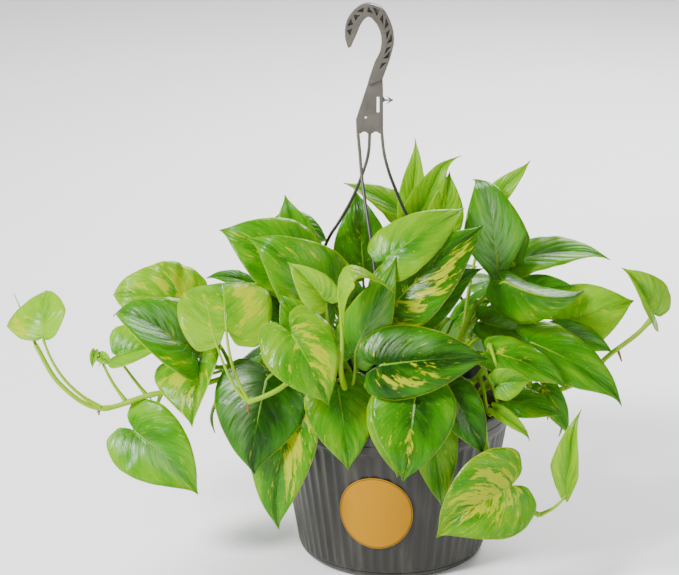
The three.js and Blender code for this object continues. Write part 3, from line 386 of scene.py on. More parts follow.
draw = random.Random(7)
SOIL_CRUMBS = 150
bpy.ops.mesh.primitive_ico_sphere_add(subdivisions=2, radius=1, location=(0, 0, 0))
crumb = made("crumb")
for vertex in crumb.data.vertices:
    vertex.co *= 1 + 0.25 * noise.noise(vertex.co * 1.7)
smooth(crumb, 30)
crumbs = []
for i in range(SOIL_CRUMBS):
    radius, turn = 94 * math.sqrt(draw.random()), 2 * math.pi * draw.random()
    copy = crumb.copy()
    copy.data = crumb.data.copy()
    bpy.context.collection.objects.link(copy)
    size = draw.uniform(0.9, 2.2)
    spin = Matrix.Rotation(draw.uniform(0, 6), 4, Vector((draw.random(), draw.random(), 1)))
    scale = Matrix.Diagonal((size * draw.uniform(1, 2.2), size, size * draw.uniform(0.4, 0.9), 1))
    place = Matrix.Translation((radius * math.cos(turn), radius * math.sin(turn), 130.5))
    copy.data.transform(Matrix.Scale(MM, 4) @ place @ spin @ scale)
    crumbs.append(copy)
bpy.data.objects.remove(crumb)
print("potting mix:", len(soil.data.polygons), "faces and", len(crumbs), "crumbs")

# %% [markdown]
# Stems, leaf stalks and the hanger's legs are all rods that follow a path. The path is a smooth curve
# through a few points; a ring is carried along it without twisting, and its radius may change on the way.

# %% Paths and rods


def curve_through(points, steps=10):
    """A centripetal Catmull-Rom curve, as a dense polyline."""
    points = [points[0] * 2 - points[1], *points, points[-1] * 2 - points[-2]]
    path = [points[1].copy()]
    for a, b, c, d in zip(points, points[1:], points[2:], points[3:]):
        gaps = [max((q - p).length, 1e-6) ** 0.5 for p, q in ((a, b), (b, c), (c, d))]
        into = ((b - a) / gaps[0] - (c - a) / (gaps[0] + gaps[1]) + (c - b) / gaps[1]) * gaps[1]
        away = ((c - b) / gaps[1] - (d - b) / (gaps[1] + gaps[2]) + (d - c) / gaps[2]) * gaps[1]
        for i in range(1, steps + 1):
            t = i / steps
            turn = b * (2 * t**3 - 3 * t**2 + 1) + c * (3 * t**2 - 2 * t**3)
            path.append(turn + into * (t**3 - 2 * t**2 + t) + away * (t**3 - t**2))
    return path


def lengths(path):
    reached = [0.0]
    for a, b in zip(path, path[1:]):
        reached.append(reached[-1] + (b - a).length)
    return reached


def point_at(path, share):
    """The point at a share of the path's length."""
    reached = lengths(path)
    goal = share * reached[-1]
    for i in range(1, len(path)):
        if reached[i] >= goal:
            part = (goal - reached[i - 1]) / max(reached[i] - reached[i - 1], 1e-9)
            return path[i - 1].lerp(path[i], part)
    return path[-1].copy()


def rod(name, path, radius_at, sides=10, spacing=2.5 * MM):
    """A closed rod. radius_at takes a share of the length and gives millimetres."""
    whole = lengths(path)[-1]
    count = max(4, int(whole / spacing))
    centres = [point_at(path, i / count) for i in range(count + 1)]
    tangent = (centres[1] - centres[0]).normalized()
    across = tangent.orthogonal().normalized()
    vertices, uvs = [], []
    for i, centre in enumerate(centres):
        ahead = (centres[min(i + 1, count)] - centres[max(i - 1, 0)]).normalized()
        across = tangent.rotation_difference(ahead) @ across
        across = (across - ahead * across.dot(ahead)).normalized()
        tangent = ahead
        other = tangent.cross(across)
        radius = radius_at(i / count) * MM
        for k in range(sides):
            angle = 2 * math.pi * k / sides
            rim = across * radius * math.cos(angle) + other * radius * math.sin(angle)
            vertices.append(centre + rim)
            uvs.append((k / sides, i / count * whole))
    faces = []
    for i in range(count):
        for k in range(sides):
            near, far = i * sides, (i + 1) * sides
            faces.append((near + k, near + (k + 1) % sides, far + (k + 1) % sides, far + k))
    faces.append(tuple(reversed(range(sides))))
    faces.append(tuple(range(count * sides, (count + 1) * sides)))
    mesh = bpy.data.meshes.new(name)
    mesh.from_pydata(vertices, [], faces)
    layer = mesh.uv_layers.new(name="UVMap")
    for loop in mesh.loops:
        layer.data[loop.index].uv = uvs[loop.vertex_index]
    piece = bpy.data.objects.new(name, mesh)
    bpy.context.collection.objects.link(piece)
    mesh.shade_smooth()
    return piece


# %% [markdown]
# The hanger is one moulding: a hook whose outer side is a truss of ribs, a flat plate with a slot, a hole
# and a barb, and three slim legs that end in clips on the rim. Flat parts start as a filled outline that
# is extruded; pockets and holes are cut with a Boolean modifier, and a bevel rounds the moulded edges.

# %% Hanger: hook and plate
HOOK_OUTER = [(348, 45), (345, 34), (347, 19), (357, 6), (369, 1), (382, 5.5), (392, 23), (394.5, 37)]
HOOK_OUTER += [(391, 54), (383, 76)]
HOOK_INNER = [(351, 44), (357, 30.5), (362, 19.5), (368.5, 13.5), (375, 18.5), (381, 31), (381, 48)]
HOOK_INNER += [(374.5, 62.5), (368, 82)]
PLATE_EDGE = [(383.5, 90), (383.5, 132), (356.5, 132), (356, 118)]
PLATE_SLOT = [(377, 95), (379.7, 95), (379.7, 111), (377, 111)]
BARB = [(383, 94), (385.5, 97.6), (390, 98), (386.5, 94.2), (394, 98.5), (386.5, 102.8), (390, 99)]
BARB += [(385.5, 99.4), (383, 101)]
HOOK_DEPTH, PLATE_DEPTH, WEB_DEPTH = 8, 3, 1.6
HOOK_POCKETS = 13


def in_plane(pixels):
    return [seen((u, v, 0)) for u, v in pixels]


def slab(name, outline, low, high):
    """A filled outline in the basket's middle plane, extruded from low to high millimetres of depth."""
    bpy.ops.mesh.primitive_circle_add(vertices=len(outline), fill_type="NGON")
    piece = made(name)
    for vertex, point in zip(piece.data.vertices, outline):
        vertex.co = (point.x, low * MM, point.z)
    bpy.ops.object.mode_set(mode="EDIT")
    bpy.ops.mesh.select_all(action="SELECT")
    bpy.ops.mesh.extrude_region_move(TRANSFORM_OT_translate={"value": (0, (high - low) * MM, 0)})
    bpy.ops.mesh.select_all(action="SELECT")
    bpy.ops.mesh.normals_make_consistent(inside=False)
    bpy.ops.object.mode_set(mode="OBJECT")
    return piece


def even(path, count):
    return [point_at(path, i / (count - 1)) for i in range(count)]


def cut(piece, cutters):
    cutter = joined(cutters, "cutters")
    apply(piece, "BOOLEAN", object=cutter, operation="DIFFERENCE", solver="EXACT")
    bpy.data.objects.remove(cutter)


def pin(u, v, radius, sides=24):
    centre = seen((u, v, 0))
    bpy.ops.mesh.primitive_cylinder_add(vertices=sides, radius=radius * MM, depth=0.02, location=centre,
                                        rotation=(math.pi / 2, 0, 0))
    return made("pin")


outer = curve_through(in_plane(HOOK_OUTER))
inner = curve_through(in_plane(HOOK_INNER))


def between(share, depth):
    return point_at(outer, share).lerp(point_at(inner, share), depth)


hook = slab("hook", [*even(outer, 60), *reversed(even(inner, 48))], -HOOK_DEPTH / 2, HOOK_DEPTH / 2)
pockets = []
for i in range(HOOK_POCKETS):
    start, pitch = 0.1 + 0.8 * i / HOOK_POCKETS, 0.8 / HOOK_POCKETS
    base, apex = (0.14, 0.52) if i % 2 else (0.52, 0.14)
    corners = [between(start, base), between(start + 0.5 * pitch, base), between(start + 0.95 * pitch, base)]
    corners.append(between(start + 0.48 * pitch, apex))
    pockets.append(slab("pocket", corners, WEB_DEPTH / 2, HOOK_DEPTH))
    pockets.append(slab("pocket", corners, -HOOK_DEPTH, -WEB_DEPTH / 2))
cut(hook, pockets)
plate_outline = [*even(outer, 60), *in_plane(PLATE_EDGE), *reversed(even(inner, 48))]
plate = slab("plate", plate_outline, -PLATE_DEPTH / 2, PLATE_DEPTH / 2)
cutters = [slab("slot", in_plane(PLATE_SLOT), -5, 5), pin(366, 116, 1.1)]
cutters += [pin(364.3, 134, 3.4), pin(376.2, 134, 3.4)]
cut(plate, cutters)
barb = slab("barb", in_plane(BARB), -0.75, 0.75)
for piece, width in ((hook, 0.45), (plate, 0.3), (barb, 0.2)):
    apply(piece, "BEVEL", width=width * MM, segments=2, limit_method="ANGLE", angle_limit=math.radians(40))
    smooth(piece, 35)
print("hook:", len(hook.data.polygons), "faces, plate:", len(plate.data.polygons), "faces")

# %% Hanger: legs and clips
LEGS = [
    [(358, 131, 0), (360, 152, 5), (362, 176, 12), (366, 206, 27), (371, 240, 44), (380, 310, 73),
     (389, 366, 95), (393, 404, 107)],
    [(370, 131, 0), (368.5, 153, -3), (361.5, 176, -8), (352.5, 197.5, -14), (340, 220, -21), (328, 239, -28),
     (306, 300, -46), (292, 350, -55)],
    [(382, 131, 0), (384.6, 153, -3), (390, 173, -8), (397, 191, -13), (408, 216, -20), (430, 252, -31),
     (470, 310, -47), (492, 348, -55)],
]
CLIP_TURNS = [math.radians(turn) for turn in (-90, 150, 30)]
RIM_TOP, RIM_OUT, RIM_IN = 146, 107, 102.7
CLIP_WIDTH, CLIP_WALL, CLIP_GAP = 9, 2, 0.4


def clip(turn):
    """An outer tab, a bridge over the rim and an inner tab, joined and bevelled."""
    inside, outside = RIM_IN - CLIP_GAP - CLIP_WALL, RIM_OUT + CLIP_GAP
    top = RIM_TOP + CLIP_GAP + CLIP_WALL
    bridge = outside + CLIP_WALL - inside
    boxes = [((inside + outside + CLIP_WALL) / 2, top - CLIP_WALL / 2, bridge, CLIP_WALL)]
    boxes.append((outside + CLIP_WALL / 2, top - 6.5, CLIP_WALL, 13))
    boxes.append((inside + CLIP_WALL / 2, top - 4.5, CLIP_WALL, 9))
    pieces = []
    for radius, height, length, tall in boxes:
        centre, edges = (radius * MM, 0, height * MM), (length * MM, CLIP_WIDTH * MM, tall * MM)
        bpy.ops.mesh.primitive_cube_add(size=1, location=centre)
        bpy.ops.transform.resize(value=edges, center_override=centre)
        bpy.ops.object.transform_apply(location=True, rotation=True, scale=True)
        pieces.append(made("tab"))
    whole = joined(pieces, "clip")
    apply(whole, "BEVEL", width=0.5 * MM, segments=2, limit_method="ANGLE")
    whole.data.transform(Matrix.Rotation(turn, 4, "Z"))
    smooth(whole, 35)
    return whole


hanger_pieces = [plate, hook, barb]
for route, turn in zip(LEGS, CLIP_TURNS):
    landing = [Vector((108.4 * math.cos(turn), 108.4 * math.sin(turn), z)) * MM for z in (154, 147.6)]
    path = curve_through([*[seen(place) for place in route], *landing])
    hanger_pieces.append(rod("leg", path, lambda share: 1.45 + 0.5 * max(0, share - 0.94) / 0.06, sides=12))
    hanger_pieces.append(clip(turn))
hanger = joined(hanger_pieces, "hanger_moulding")
print("hanger:", len(hanger.data.polygons), "faces")

# %% [markdown]
# One flat leaf is modelled once. A pothos blade is heart-shaped: two lobes reach back past the stalk, the
# sides are full near the base, and the tip is drawn out. A grid is laid out so that its columns follow
# the midrib and its rows follow the side veins, so the veins can be drawn later with the UV map alone.

# %% One flat leaf
HALF_OUTLINE = [(-0.13, 0.13), (-0.13, 0.34), (0.05, 0.485), (0.29, 0.49), (0.53, 0.385)]
HALF_OUTLINE += [(0.75, 0.215), (0.91, 0.06), (1, 0)]
VEIN_STARTS = [0, 0, 0.07, 0.21, 0.4, 0.62, 0.83, 1]
HALF_COLUMNS, ROWS = 9, 54
VEIN_SAG = 0.035
HEEL_LENGTH = 0.35


def along_table(table, t):
    """A smooth reading of evenly spaced values at t, from 0 to 1."""
    place = t * (len(table) - 1)
    i = min(int(place), len(table) - 2)
    a, b, c, d = (table[max(0, min(len(table) - 1, k))] for k in (i - 1, i, i + 1, i + 2))
    s = place - i
    return b + 0.5 * s * (c - a + s * (2 * a - 5 * b + 4 * c - d + s * (3 * (b - c) + d - a)))


def flat_place(column, row, lobes=1.0, heel=1.0):
    """Share of the blade's length and distance from the midrib, for a blade of length 1 and width 1."""
    start = 0 if row < 1 / 7 else along_table(VEIN_STARTS, row)
    end = along_table([share for share, across in HALF_OUTLINE], row)
    reach = max(0, along_table([across for share, across in HALF_OUTLINE], row))
    reach *= 1 - (1 - heel) * max(0, min(1, 1 - end / HEEL_LENGTH))
    end = end * lobes if end < 0 else end
    out = abs(column)
    share = start + (end - start) * out - VEIN_SAG * 4 * out * (1 - out) * (1 - row)
    return share, reach * column


bpy.ops.mesh.primitive_grid_add(x_subdivisions=2 * HALF_COLUMNS, y_subdivisions=ROWS, size=2)
flat_leaf = made("flat_leaf")
columns = flat_leaf.data.attributes.new("column", "FLOAT", "POINT")
rows = flat_leaf.data.attributes.new("row", "FLOAT", "POINT")
for vertex in flat_leaf.data.vertices:
    column, row = vertex.co.x, (vertex.co.y + 1) / 2
    columns.data[vertex.index].value = column
    rows.data[vertex.index].value = row
    share, across = flat_place(column, row)
    vertex.co = (across, share, 0)
bpy.ops.object.mode_set(mode="EDIT")
bpy.ops.mesh.select_all(action="SELECT")
bpy.ops.mesh.remove_doubles(threshold=1e-6)
bpy.ops.object.mode_set(mode="OBJECT")
print("flat leaf:", len(flat_leaf.data.vertices), "vertices")

# %% [markdown]
# A real leaf is never flat. The two halves fold up from the midrib and roll down at their edges, the
# midrib arches, the margin ripples, and the tip hangs, hooks to one side and on some leaves curls under.
# `place_leaf` works out a leaf's own axes from its base, its tip and the way it faces; `on_blade` bends
# one point of the flat leaf.

# %% Bending a leaf
WAVES = 2.2
TIP_DROOP, TIP_HOOK = 0.05, 0.05
CURL_UNDER, CURL_BACK = 0.16, 0.1
BLADE_THICKNESS = 0.65

PLAIN_LEAF = {
    "wide": 0.8, "faces": (0, 0.35), "fold": (12, 12), "roll": (-25, -25), "arch": 0.1, "wave": 0.012,
    "lobes": 1, "heel": 1, "flare": (1, 1), "curl": 0, "hook": 0, "stout": 1,
    "joins": None, "stalk": None, "normal": None,
    "tone": 0.5, "gold": 0.0, "patch": None, "sheen": None,
}


def leaf(**row):
    """A leaf's row. tone runs from dark green to lime, gold is how much yellow marbles it, and patch and
    sheen are spots of yellow and of painted sheen, a pale painted highlight: column, row and size. flare
    widens each half, curl and hook bend the tip under and sideways, and stout thickens the foot of the
    stalk."""
    return {**PLAIN_LEAF, **row}


def place_leaf(row):
    placed = dict(row)
    along = row["tip"] - row["base"]
    placed["length"] = along.length
    along.normalize()
    normal = row["normal"]
    if normal is None:
        right, up, towards = (*row["faces"], 1)[:3]
        normal = VIEW_TOWARDS * towards + VIEW_RIGHT * right + VIEW_UP * up
    normal = (normal - along * normal.dot(along)).normalized()
    placed.update(along=along, up=normal, side=along.cross(normal))
    return placed


def on_blade(leaf, share, across):
    """A point of the bent blade, from shares of its length."""
    slope = 4 * leaf["arch"] * (1 - 2 * share)
    rise = 4 * leaf["arch"] * share * (1 - share)
    lift = (leaf["up"] - leaf["along"] * slope).normalized()
    half = 0 if across < 0 else 1
    reach = abs(across) * leaf["flare"][half]
    fold = math.radians(leaf["fold"][half])
    bend = math.radians(leaf["roll"][half]) / (0.5 * leaf["wide"]) or 1e-6
    angle = fold + bend * reach
    outward = (math.sin(angle) - math.sin(fold)) / bend
    edge = reach / (0.5 * leaf["wide"])
    ripple = leaf["wave"] * math.sin(2 * math.pi * (WAVES * share + 0.5 * half))
    ripple += 0.5 * leaf["wave"] * math.sin(2 * math.pi * (5.3 * share + 0.3 * half + leaf["tone"]))
    upward = (math.cos(fold) - math.cos(angle)) / bend + ripple * edge**2
    near_tip = max(0, (share - 0.75) / 0.25) ** 2
    droop = (TIP_DROOP + CURL_UNDER * leaf["curl"]) * near_tip
    forward = share - CURL_BACK * leaf["curl"] * near_tip
    hook = (leaf["hook"] + TIP_HOOK * math.sin(40 * leaf["tone"] + 9 * leaf["wide"])) * near_tip
    sign = 1 if half else -1
    place = leaf["along"] * forward + leaf["up"] * (rise - droop)
    place += leaf["side"] * (sign * outward + hook) + lift * upward
    return leaf["base"] + place * leaf["length"]


SIDE_VEINS = 10
VEIN_SWEEP = 0.24
QUILT_HEIGHT, GROOVE_DEPTH = 0.35, 0.3


def quilt(column, row):
    """How far the blade bulges between its side veins, in millimetres, with a groove along the midrib."""
    out = abs(column)
    place = (row - VEIN_SWEEP * out) * SIDE_VEINS + (0.4 if column > 0 else 0)
    between = 1 - abs(2 * (place % 1) - 1)
    bulge = QUILT_HEIGHT * between * math.sqrt(max(0, math.sin(math.pi * min(1, out))))
    return bulge - (GROOVE_DEPTH if out < 0.01 else 0)


def spot(where, column, row):
    """How much of a spot shows at a place on the leaf."""
    if where is None:
        return 0
    distance = math.hypot((column - where[0]) * 0.8, row - where[1])
    return math.exp(-((distance / where[2]) ** 2) * 1.5)


def bent_copy(row, number):
    """A copy of the flat leaf, bent into place, with its looks stored on its points."""
    placed = place_leaf(row)
    copy = flat_leaf.copy()
    copy.data = flat_leaf.data.copy()
    bpy.context.collection.objects.link(copy)
    mesh = copy.data
    for layer in ("looks", "spots"):
        mesh.color_attributes.new(name=layer, type="FLOAT_COLOR", domain="POINT")
    looks, spots = mesh.attributes["looks"], mesh.attributes["spots"]
    columns, rows = mesh.attributes["column"].data, mesh.attributes["row"].data
    seed = (number * 0.618) % 1
    for vertex in mesh.vertices:
        column, along = columns[vertex.index].value, rows[vertex.index].value
        share, across = flat_place(column, along, row["lobes"], row["heel"])
        vertex.co = on_blade(placed, share, across * row["wide"]) + placed["up"] * quilt(column, along) * MM
        looks.data[vertex.index].color = (row["tone"], row["gold"], seed, 1)
        # The second spot value marks where painted sheen, a pale painted highlight, goes on the leaf.
        shown = (spot(row["patch"], column, along), spot(row["sheen"], column, along), 0, 1)
        spots.data[vertex.index].color = shown
    return copy, placed


print("bending works on", len(flat_leaf.data.vertices), "points a leaf")

# %% [markdown]
# Each row below is one leaf as it stands in the picture: where its stalk meets it, where its tip is, how
# it faces and bends, and its colour. Distances in front of the axis are judged from what covers what.

# %% The stems that show
SHOWN_VINES = {
    "vine_far_left": {
        "root": (-72, 4),
        "route": [(310, 393, -3), (280, 372, 16), (240, 374, 32), (205, 384, 36), (148, 396, 37),
                  (96, 409, 40), (57, 384, 40), (33, 345, 34)],
        "leaves": [
            leaf(joins=(100, 409, 40), stalk=[(80, 397, 42), (62, 380, 43), (49, 360, 42)],
                 base=(40, 337, 42), tip=(43, 289, 2), wide=1.1, faces=(0, 0.1), fold=(-10, 36),
                 roll=(-26, -12), arch=0.12, lobes=0.3, heel=0.6, flare=(1.5, 0.95), tone=0.92,
                 gold=0.3, patch=(-0.7, 0.4, 0.35)),
            leaf(joins=(146, 397, 35), stalk=[(130, 377, 32)], base=(115, 356, 30), tip=(168, 343, 22),
                 wide=1.1, faces=(-0.1, 0.2), fold=(2, 66), lobes=0.5, tone=0.72, gold=0.3),
            leaf(joins=(124, 402, 37), stalk=[(110, 382, 34)], base=(98, 357, 32), tip=(111, 366, 38),
                 wide=0.8, fold=(30, 30), tone=0.8, gold=0.3),
            leaf(joins=(100, 361, 32), stalk=[(97, 353, 31)], base=(93, 352, 31), tip=(90, 368, 35),
                 wide=0.55, fold=(30, 30), tone=0.75, gold=0.2),
            leaf(joins=(160, 394, 37), stalk=[(154, 408, 32), (143, 420, 35)], base=(132, 431, 44),
                 tip=(199, 494, 66), wide=0.86, faces=(0.1, 0.3), fold=(40, 0), lobes=1.1, tone=0.5,
                 gold=0.3, sheen=(0.2, 0.6, 0.35)),
        ],
        "spikes": [[(35, 349, 34), (22, 318, 16), (11, 293, 6)], [(97, 409, 40), (97, 416, 40)]],
    },
    "vine_left": {
        "root": (-62, -16),
        "route": [(285, 378, 36), (246, 371, 50), (206, 367, 50)],
        "leaves": [
            leaf(base=(191, 351, 52), tip=(106, 306, 40), wide=0.92, fold=(48, -6), arch=0.2, lobes=0.4,
                 curl=0.9, tone=0.36, gold=0.35, sheen=(0.3, 0.5, 0.4)),
            leaf(base=(198, 362, 42), tip=(191, 427, 84), wide=1.28, faces=(-0.1, 0.4), fold=(66, -6),
                 roll=(-25, -8), arch=0.12, lobes=0.6, tone=0.5, gold=0.65, patch=(0.3, 0.4, 0.35)),
            leaf(base=(188, 306, 14), tip=(104, 292, 10), wide=0.96, faces=(0, 0.3), arch=0.16, wave=0.04,
                 curl=0.8, tone=0.74, gold=0.55, patch=(0.4, 0.4, 0.4)),
            leaf(base=(199, 357, 36), tip=(209, 329, 32), wide=0.9, tone=0.2),
        ],
    },
    "vine_arching": {
        "root": (-50, -50),
        "route": [(332, 392, 54), (322, 366, 74), (304, 370, 100), (280, 389, 116), (262, 398, 119),
                  (247, 403, 119)],
        "leaves": [
            leaf(joins=(248, 403, 119), stalk=[(238, 384, 113), (229, 356, 100)], base=(225, 327, 90),
                 tip=(224, 298, 16), wide=1.1, fold=(-4, -4), roll=(-4, -4), arch=0.34, tone=0.8, gold=0.45,
                 patch=(0.4, 0.5, 0.3)),
        ],
        "spikes": [[(247, 403, 119), (233, 386, 117), (214, 340, 112),
                  (204, 295, 108)], [(247, 402, 119), (248, 415, 121)]],
    },
    "vine_front_left": {
        "root": (-36, -36),
        "route": [(350, 375, 40), (330, 345, 46)],
        "leaves": [
            leaf(stalk=[(330, 384, 43), (312, 394, 64)], base=(289, 405, 82), tip=(275, 533, 92), wide=0.55,
                 faces=(-0.2, 0.2), fold=(20, 12), tone=0.34, gold=0.4, sheen=(0.4, 0.4, 0.25),
                 patch=(-0.5, 0.5, 0.35)),
            leaf(stalk=[(320, 362, 60), (290, 364, 80)], base=(266, 379, 90), tip=(250, 476, 108),
                 wide=1.02, faces=(-0.15, 0.3), fold=(-16, 6), tone=0.02, gold=0.05, sheen=(0.5, 0.4, 0.4)),
            leaf(base=(291, 334, 102), tip=(330, 406, 122), wide=0.94, fold=(10, 10), lobes=1.8, tone=0.58,
                 gold=0.45, patch=(-0.35, 0.5, 0.35)),
            leaf(base=(308, 338, 84), tip=(279, 294, 78), wide=0.9, tone=0.5, gold=0.3),
            leaf(base=(325, 300, 92), tip=(287, 262, 86), wide=0.72, fold=(10, 45), tone=0.85, gold=0.6),
        ],
    },
    "vine_upper_left": {
        "root": (-32, 0),
        "route": [(352, 335, 2), (330, 290, 8)],
        "leaves": [
            leaf(base=(332, 303, 44), tip=(248, 231, 54), wide=0.72, faces=(-0.1, 0.3), fold=(8, 8),
                 arch=0.14, curl=0.7, tone=0.45, gold=0.5, sheen=(-0.4, 0.35, 0.35)),
            leaf(base=(300, 268, 25), tip=(219, 228, 18), wide=0.92, faces=(-0.2, 0.5), tone=0.42,
                 gold=0.35, patch=(0, 0.85, 0.35)),
            leaf(base=(302, 262, -10), tip=(285, 194, -22), wide=0.7, faces=(-0.2, 0.2), fold=(14, 14),
                 tone=0.4, gold=0.3),
            leaf(base=(280, 233, -36), tip=(328, 240, -46), wide=1.05, faces=(0.1, 0.7), arch=0.2,
                 tone=0.25, sheen=(0, 0.5, 0.4)),
            leaf(stalk=[(300, 290, 4), (270, 285, 1)], base=(250, 284, 2), tip=(205, 276, 8), wide=0.5,
                 faces=(0, 0.8), tone=0.3),
            leaf(base=(288, 318, 42), tip=(266, 284, 36), wide=0.85, tone=0.08),
        ],
    },
    "vine_front": {
        "root": (-18, -54),
        "route": [(360, 404, 66), (346, 392, 82)],
        "leaves": [
            leaf(joins=(346, 392, 82), stalk=[(341, 372, 98), (342, 342, 108)], base=(341, 318, 111),
                 tip=(394, 291, 106), wide=1, faces=(-0.5, 1.1, 0.75), fold=(-30, -16), roll=(-10, -10),
                 arch=0.86, lobes=0.2, heel=0.2, stout=1.7, tone=0.95, gold=0.7),
            leaf(joins=(350, 396, 78), stalk=[(355, 375, 88)], base=(355, 353, 91), tip=(399, 259, 84),
                 wide=0.49, fold=(14, 2), tone=0.46, gold=0.25, sheen=(0.4, 0.5, 0.45)),
            leaf(joins=(348, 394, 80), stalk=[(340, 389, 84)], base=(338, 388, 84), tip=(350, 472, 108),
                 wide=0.86, faces=(0, 0.25), tone=0.5, gold=0.3),
        ],
    },
    "vine_front_right": {
        "root": (16, -52),
        "route": [(409, 404, 68), (402, 396, 84)],
        "leaves": [
            leaf(base=(379, 366, 116), tip=(490, 358, 106), wide=0.68, faces=(0, 0.25), fold=(14, -8),
                 roll=(-20, -30), arch=0.08, tone=0.08, gold=0.3, patch=(0.5, 0.42, 0.3),
                 sheen=(-0.5, 0.4, 0.3)),
            leaf(base=(416, 393, 112), tip=(406, 484, 136), wide=0.94, faces=(0, 0.2), fold=(10, 10),
                 tone=0.28, gold=0.3, patch=(0, 0.75, 0.2)),
            leaf(base=(398, 402, 111), tip=(401, 480, 120), wide=0.78, faces=(-0.1, 0.2), tone=0.5,
                 gold=0.15),
            leaf(base=(430, 414, 105), tip=(442, 509, 112), wide=0.5, faces=(0.1, 0.1), tone=0.6, gold=0.3),
        ],
    },
    "vine_top": {
        "root": (8, 16),
        "route": [(406, 335, -22), (402, 280, -34)],
        "leaves": [
            leaf(base=(364, 270, -32), tip=(359, 190, -50), wide=0.74, faces=(-0.1, 0.1), tone=0.12,
                 gold=0.35),
            leaf(base=(414, 224, -78), tip=(345, 183, -64), wide=0.5, faces=(0, 0.8), tone=0.7),
            leaf(base=(413, 222, -62), tip=(419, 138, -66), wide=0.36, faces=(-0.2, 0), fold=(30, 20),
                 tone=0.82, gold=0.45),
            leaf(base=(418, 220, -46), tip=(451, 150, -40), wide=0.46, faces=(0, 0.2), fold=(30, 20),
                 arch=0.16, hook=0.2, tone=0.8, gold=0.3),
            leaf(base=(444, 228, -30), tip=(450, 171, -36), wide=0.66, faces=(0.1, 0.1), tone=0.8,
                 gold=0.3),
        ],
    },
    "vine_centre": {
        "root": (10, -16),
        "route": [(401, 350, 20), (397, 300, 24)],
        "leaves": [
            leaf(stalk=[(397, 305, 50), (391, 280, 66)], base=(385, 260, 76), tip=(468, 209, 46), wide=0.6,
                 faces=(0, 0.4), fold=(4, 12), lobes=0.6, tone=0.62, gold=0.3),
            leaf(base=(392, 306, 85), tip=(487, 226, 58), wide=0.6, faces=(-0.1, 0.3), fold=(16, 8),
                 lobes=0.6, tone=0.16, gold=0.4, patch=(0.5, 0.45, 0.5)),
            leaf(base=(404, 324, 60), tip=(482, 264, 44), wide=0.5, faces=(0, 0.2), tone=0.08),
        ],
    },
    "vine_upper_right": {
        "root": (48, -6),
        "route": [(460, 340, 12), (480, 300, 20)],
        "leaves": [
            leaf(base=(499, 277, 38), tip=(480, 167, 0), wide=0.62, faces=(0.1, 0.1), fold=(10, 10),
                 roll=(-20, -20), arch=0.2, heel=0.2, curl=0.75, tone=0.3, gold=0.2, sheen=(0, 0.45, 0.75)),
            leaf(base=(514, 270, 16), tip=(499, 186, -6), wide=0.52, faces=(0.3, 0.1), heel=0.4, tone=0.12,
                 gold=0.45),
            leaf(base=(487, 206, -12), tip=(533, 161, -14), wide=0.38, faces=(0, 0.2), fold=(20, 20),
                 tone=0.8),
            leaf(base=(506, 264, 4), tip=(612, 255, 8), wide=0.55, faces=(0, 1.1), fold=(10, 16), tone=0.42,
                 gold=0.35, sheen=(0, 0.4, 0.3)),
            leaf(stalk=[(488, 294, 40), (497, 286, 58)], base=(505, 281, 66), tip=(587, 293, 58), wide=1.02,
                 faces=(0, -0.7), fold=(-95, -2), roll=(-30, -12), arch=0.2, tone=0.4, gold=0.3),
            leaf(base=(522, 298, 30), tip=(577, 286, 27), wide=0.75, faces=(0, 0.4), tone=0.3),
        ],
    },
    "vine_right": {
        "root": (64, -18),
        "route": [(505, 377, 28), (528, 360, 36)],
        "leaves": [
            leaf(base=(486, 323, 32), tip=(557, 332, 38), wide=0.62, faces=(0, -0.6), tone=0.14,
                 sheen=(-0.3, 0.5, 0.3)),
            leaf(base=(530, 342, 58), tip=(628, 402, 70), wide=0.56, faces=(0.2, 0.5), fold=(6, 14),
                 tone=0.4, gold=0.2),
            leaf(base=(556, 334, 36), tip=(616, 352, 40), wide=0.6, faces=(0, 0.6), tone=0.34, gold=0.2,
                 sheen=(-0.3, 0.5, 0.4)),
            leaf(base=(566, 322, 18), tip=(637, 301, 12), wide=0.92, faces=(0.1, 0.2), tone=0.82, gold=0.6),
        ],
    },
    "vine_far_right": {
        "root": (76, 6),
        "route": [(512, 366, 4), (528, 380, 22), (541, 394, 28), (560, 391, 28), (585, 380, 28),
                  (611, 356, 28), (640, 334, 27), (655, 318, 27)],
        "leaves": [
            leaf(joins=(653, 321, 27), stalk=[(655, 318, 27)], base=(656, 314, 27), tip=(625, 267, 22),
                 wide=1, faces=(0.3, 0.2), fold=(62, 8), tone=0.8, gold=0.45),
        ],
        "spikes": [[(620, 350, 26), (624, 362, 26)]],
    },
    "vine_lower_right": {
        "root": (46, -44),
        "route": [(470, 388, 58), (486, 368, 72), (491, 345, 82)],
        "leaves": [
            leaf(base=(451, 392, 104), tip=(486, 457, 117), wide=0.62, faces=(0.1, 0.2), fold=(16, 10),
                 tone=0.02, gold=0.1, sheen=(0.3, 0.4, 0.35)),
            leaf(base=(497, 411, 92), tip=(533, 440, 98), wide=0.34, fold=(25, 25), tone=0.75, gold=0.3),
            leaf(base=(508, 401, 72), tip=(564, 417, 80), wide=0.62, faces=(0, 0.5), tone=0.42, gold=0.2),
            leaf(base=(545, 388, 60), tip=(570, 436, 64), wide=0.5, faces=(0.2, 0.2), tone=0.35, gold=0.3,
                 patch=(0, 0.3, 0.3)),
            leaf(base=(495, 353, 86), tip=(571, 387, 92), wide=0.52, faces=(0.1, 0.5), tone=0.4, gold=0.3,
                 patch=(0, 0.15, 0.3)),
            leaf(joins=(491, 345, 82), stalk=[(497, 364, 96)], base=(501, 385, 100), tip=(533, 381, 104),
                 wide=1.1, fold=(60, 0), lobes=1.6, tone=0.62, gold=0.2),
        ],
    },
    "vine_trailing": {
        "root": (62, -52),
        "route": [(479, 400, 74), (484, 416, 90), (487, 445, 99), (496, 478, 105), (518, 505, 108),
                  (541, 517, 109)],
        "leaves": [
            leaf(joins=(514, 502, 108), stalk=[(514, 492, 111)], base=(513, 487, 120), tip=(435, 536, 134),
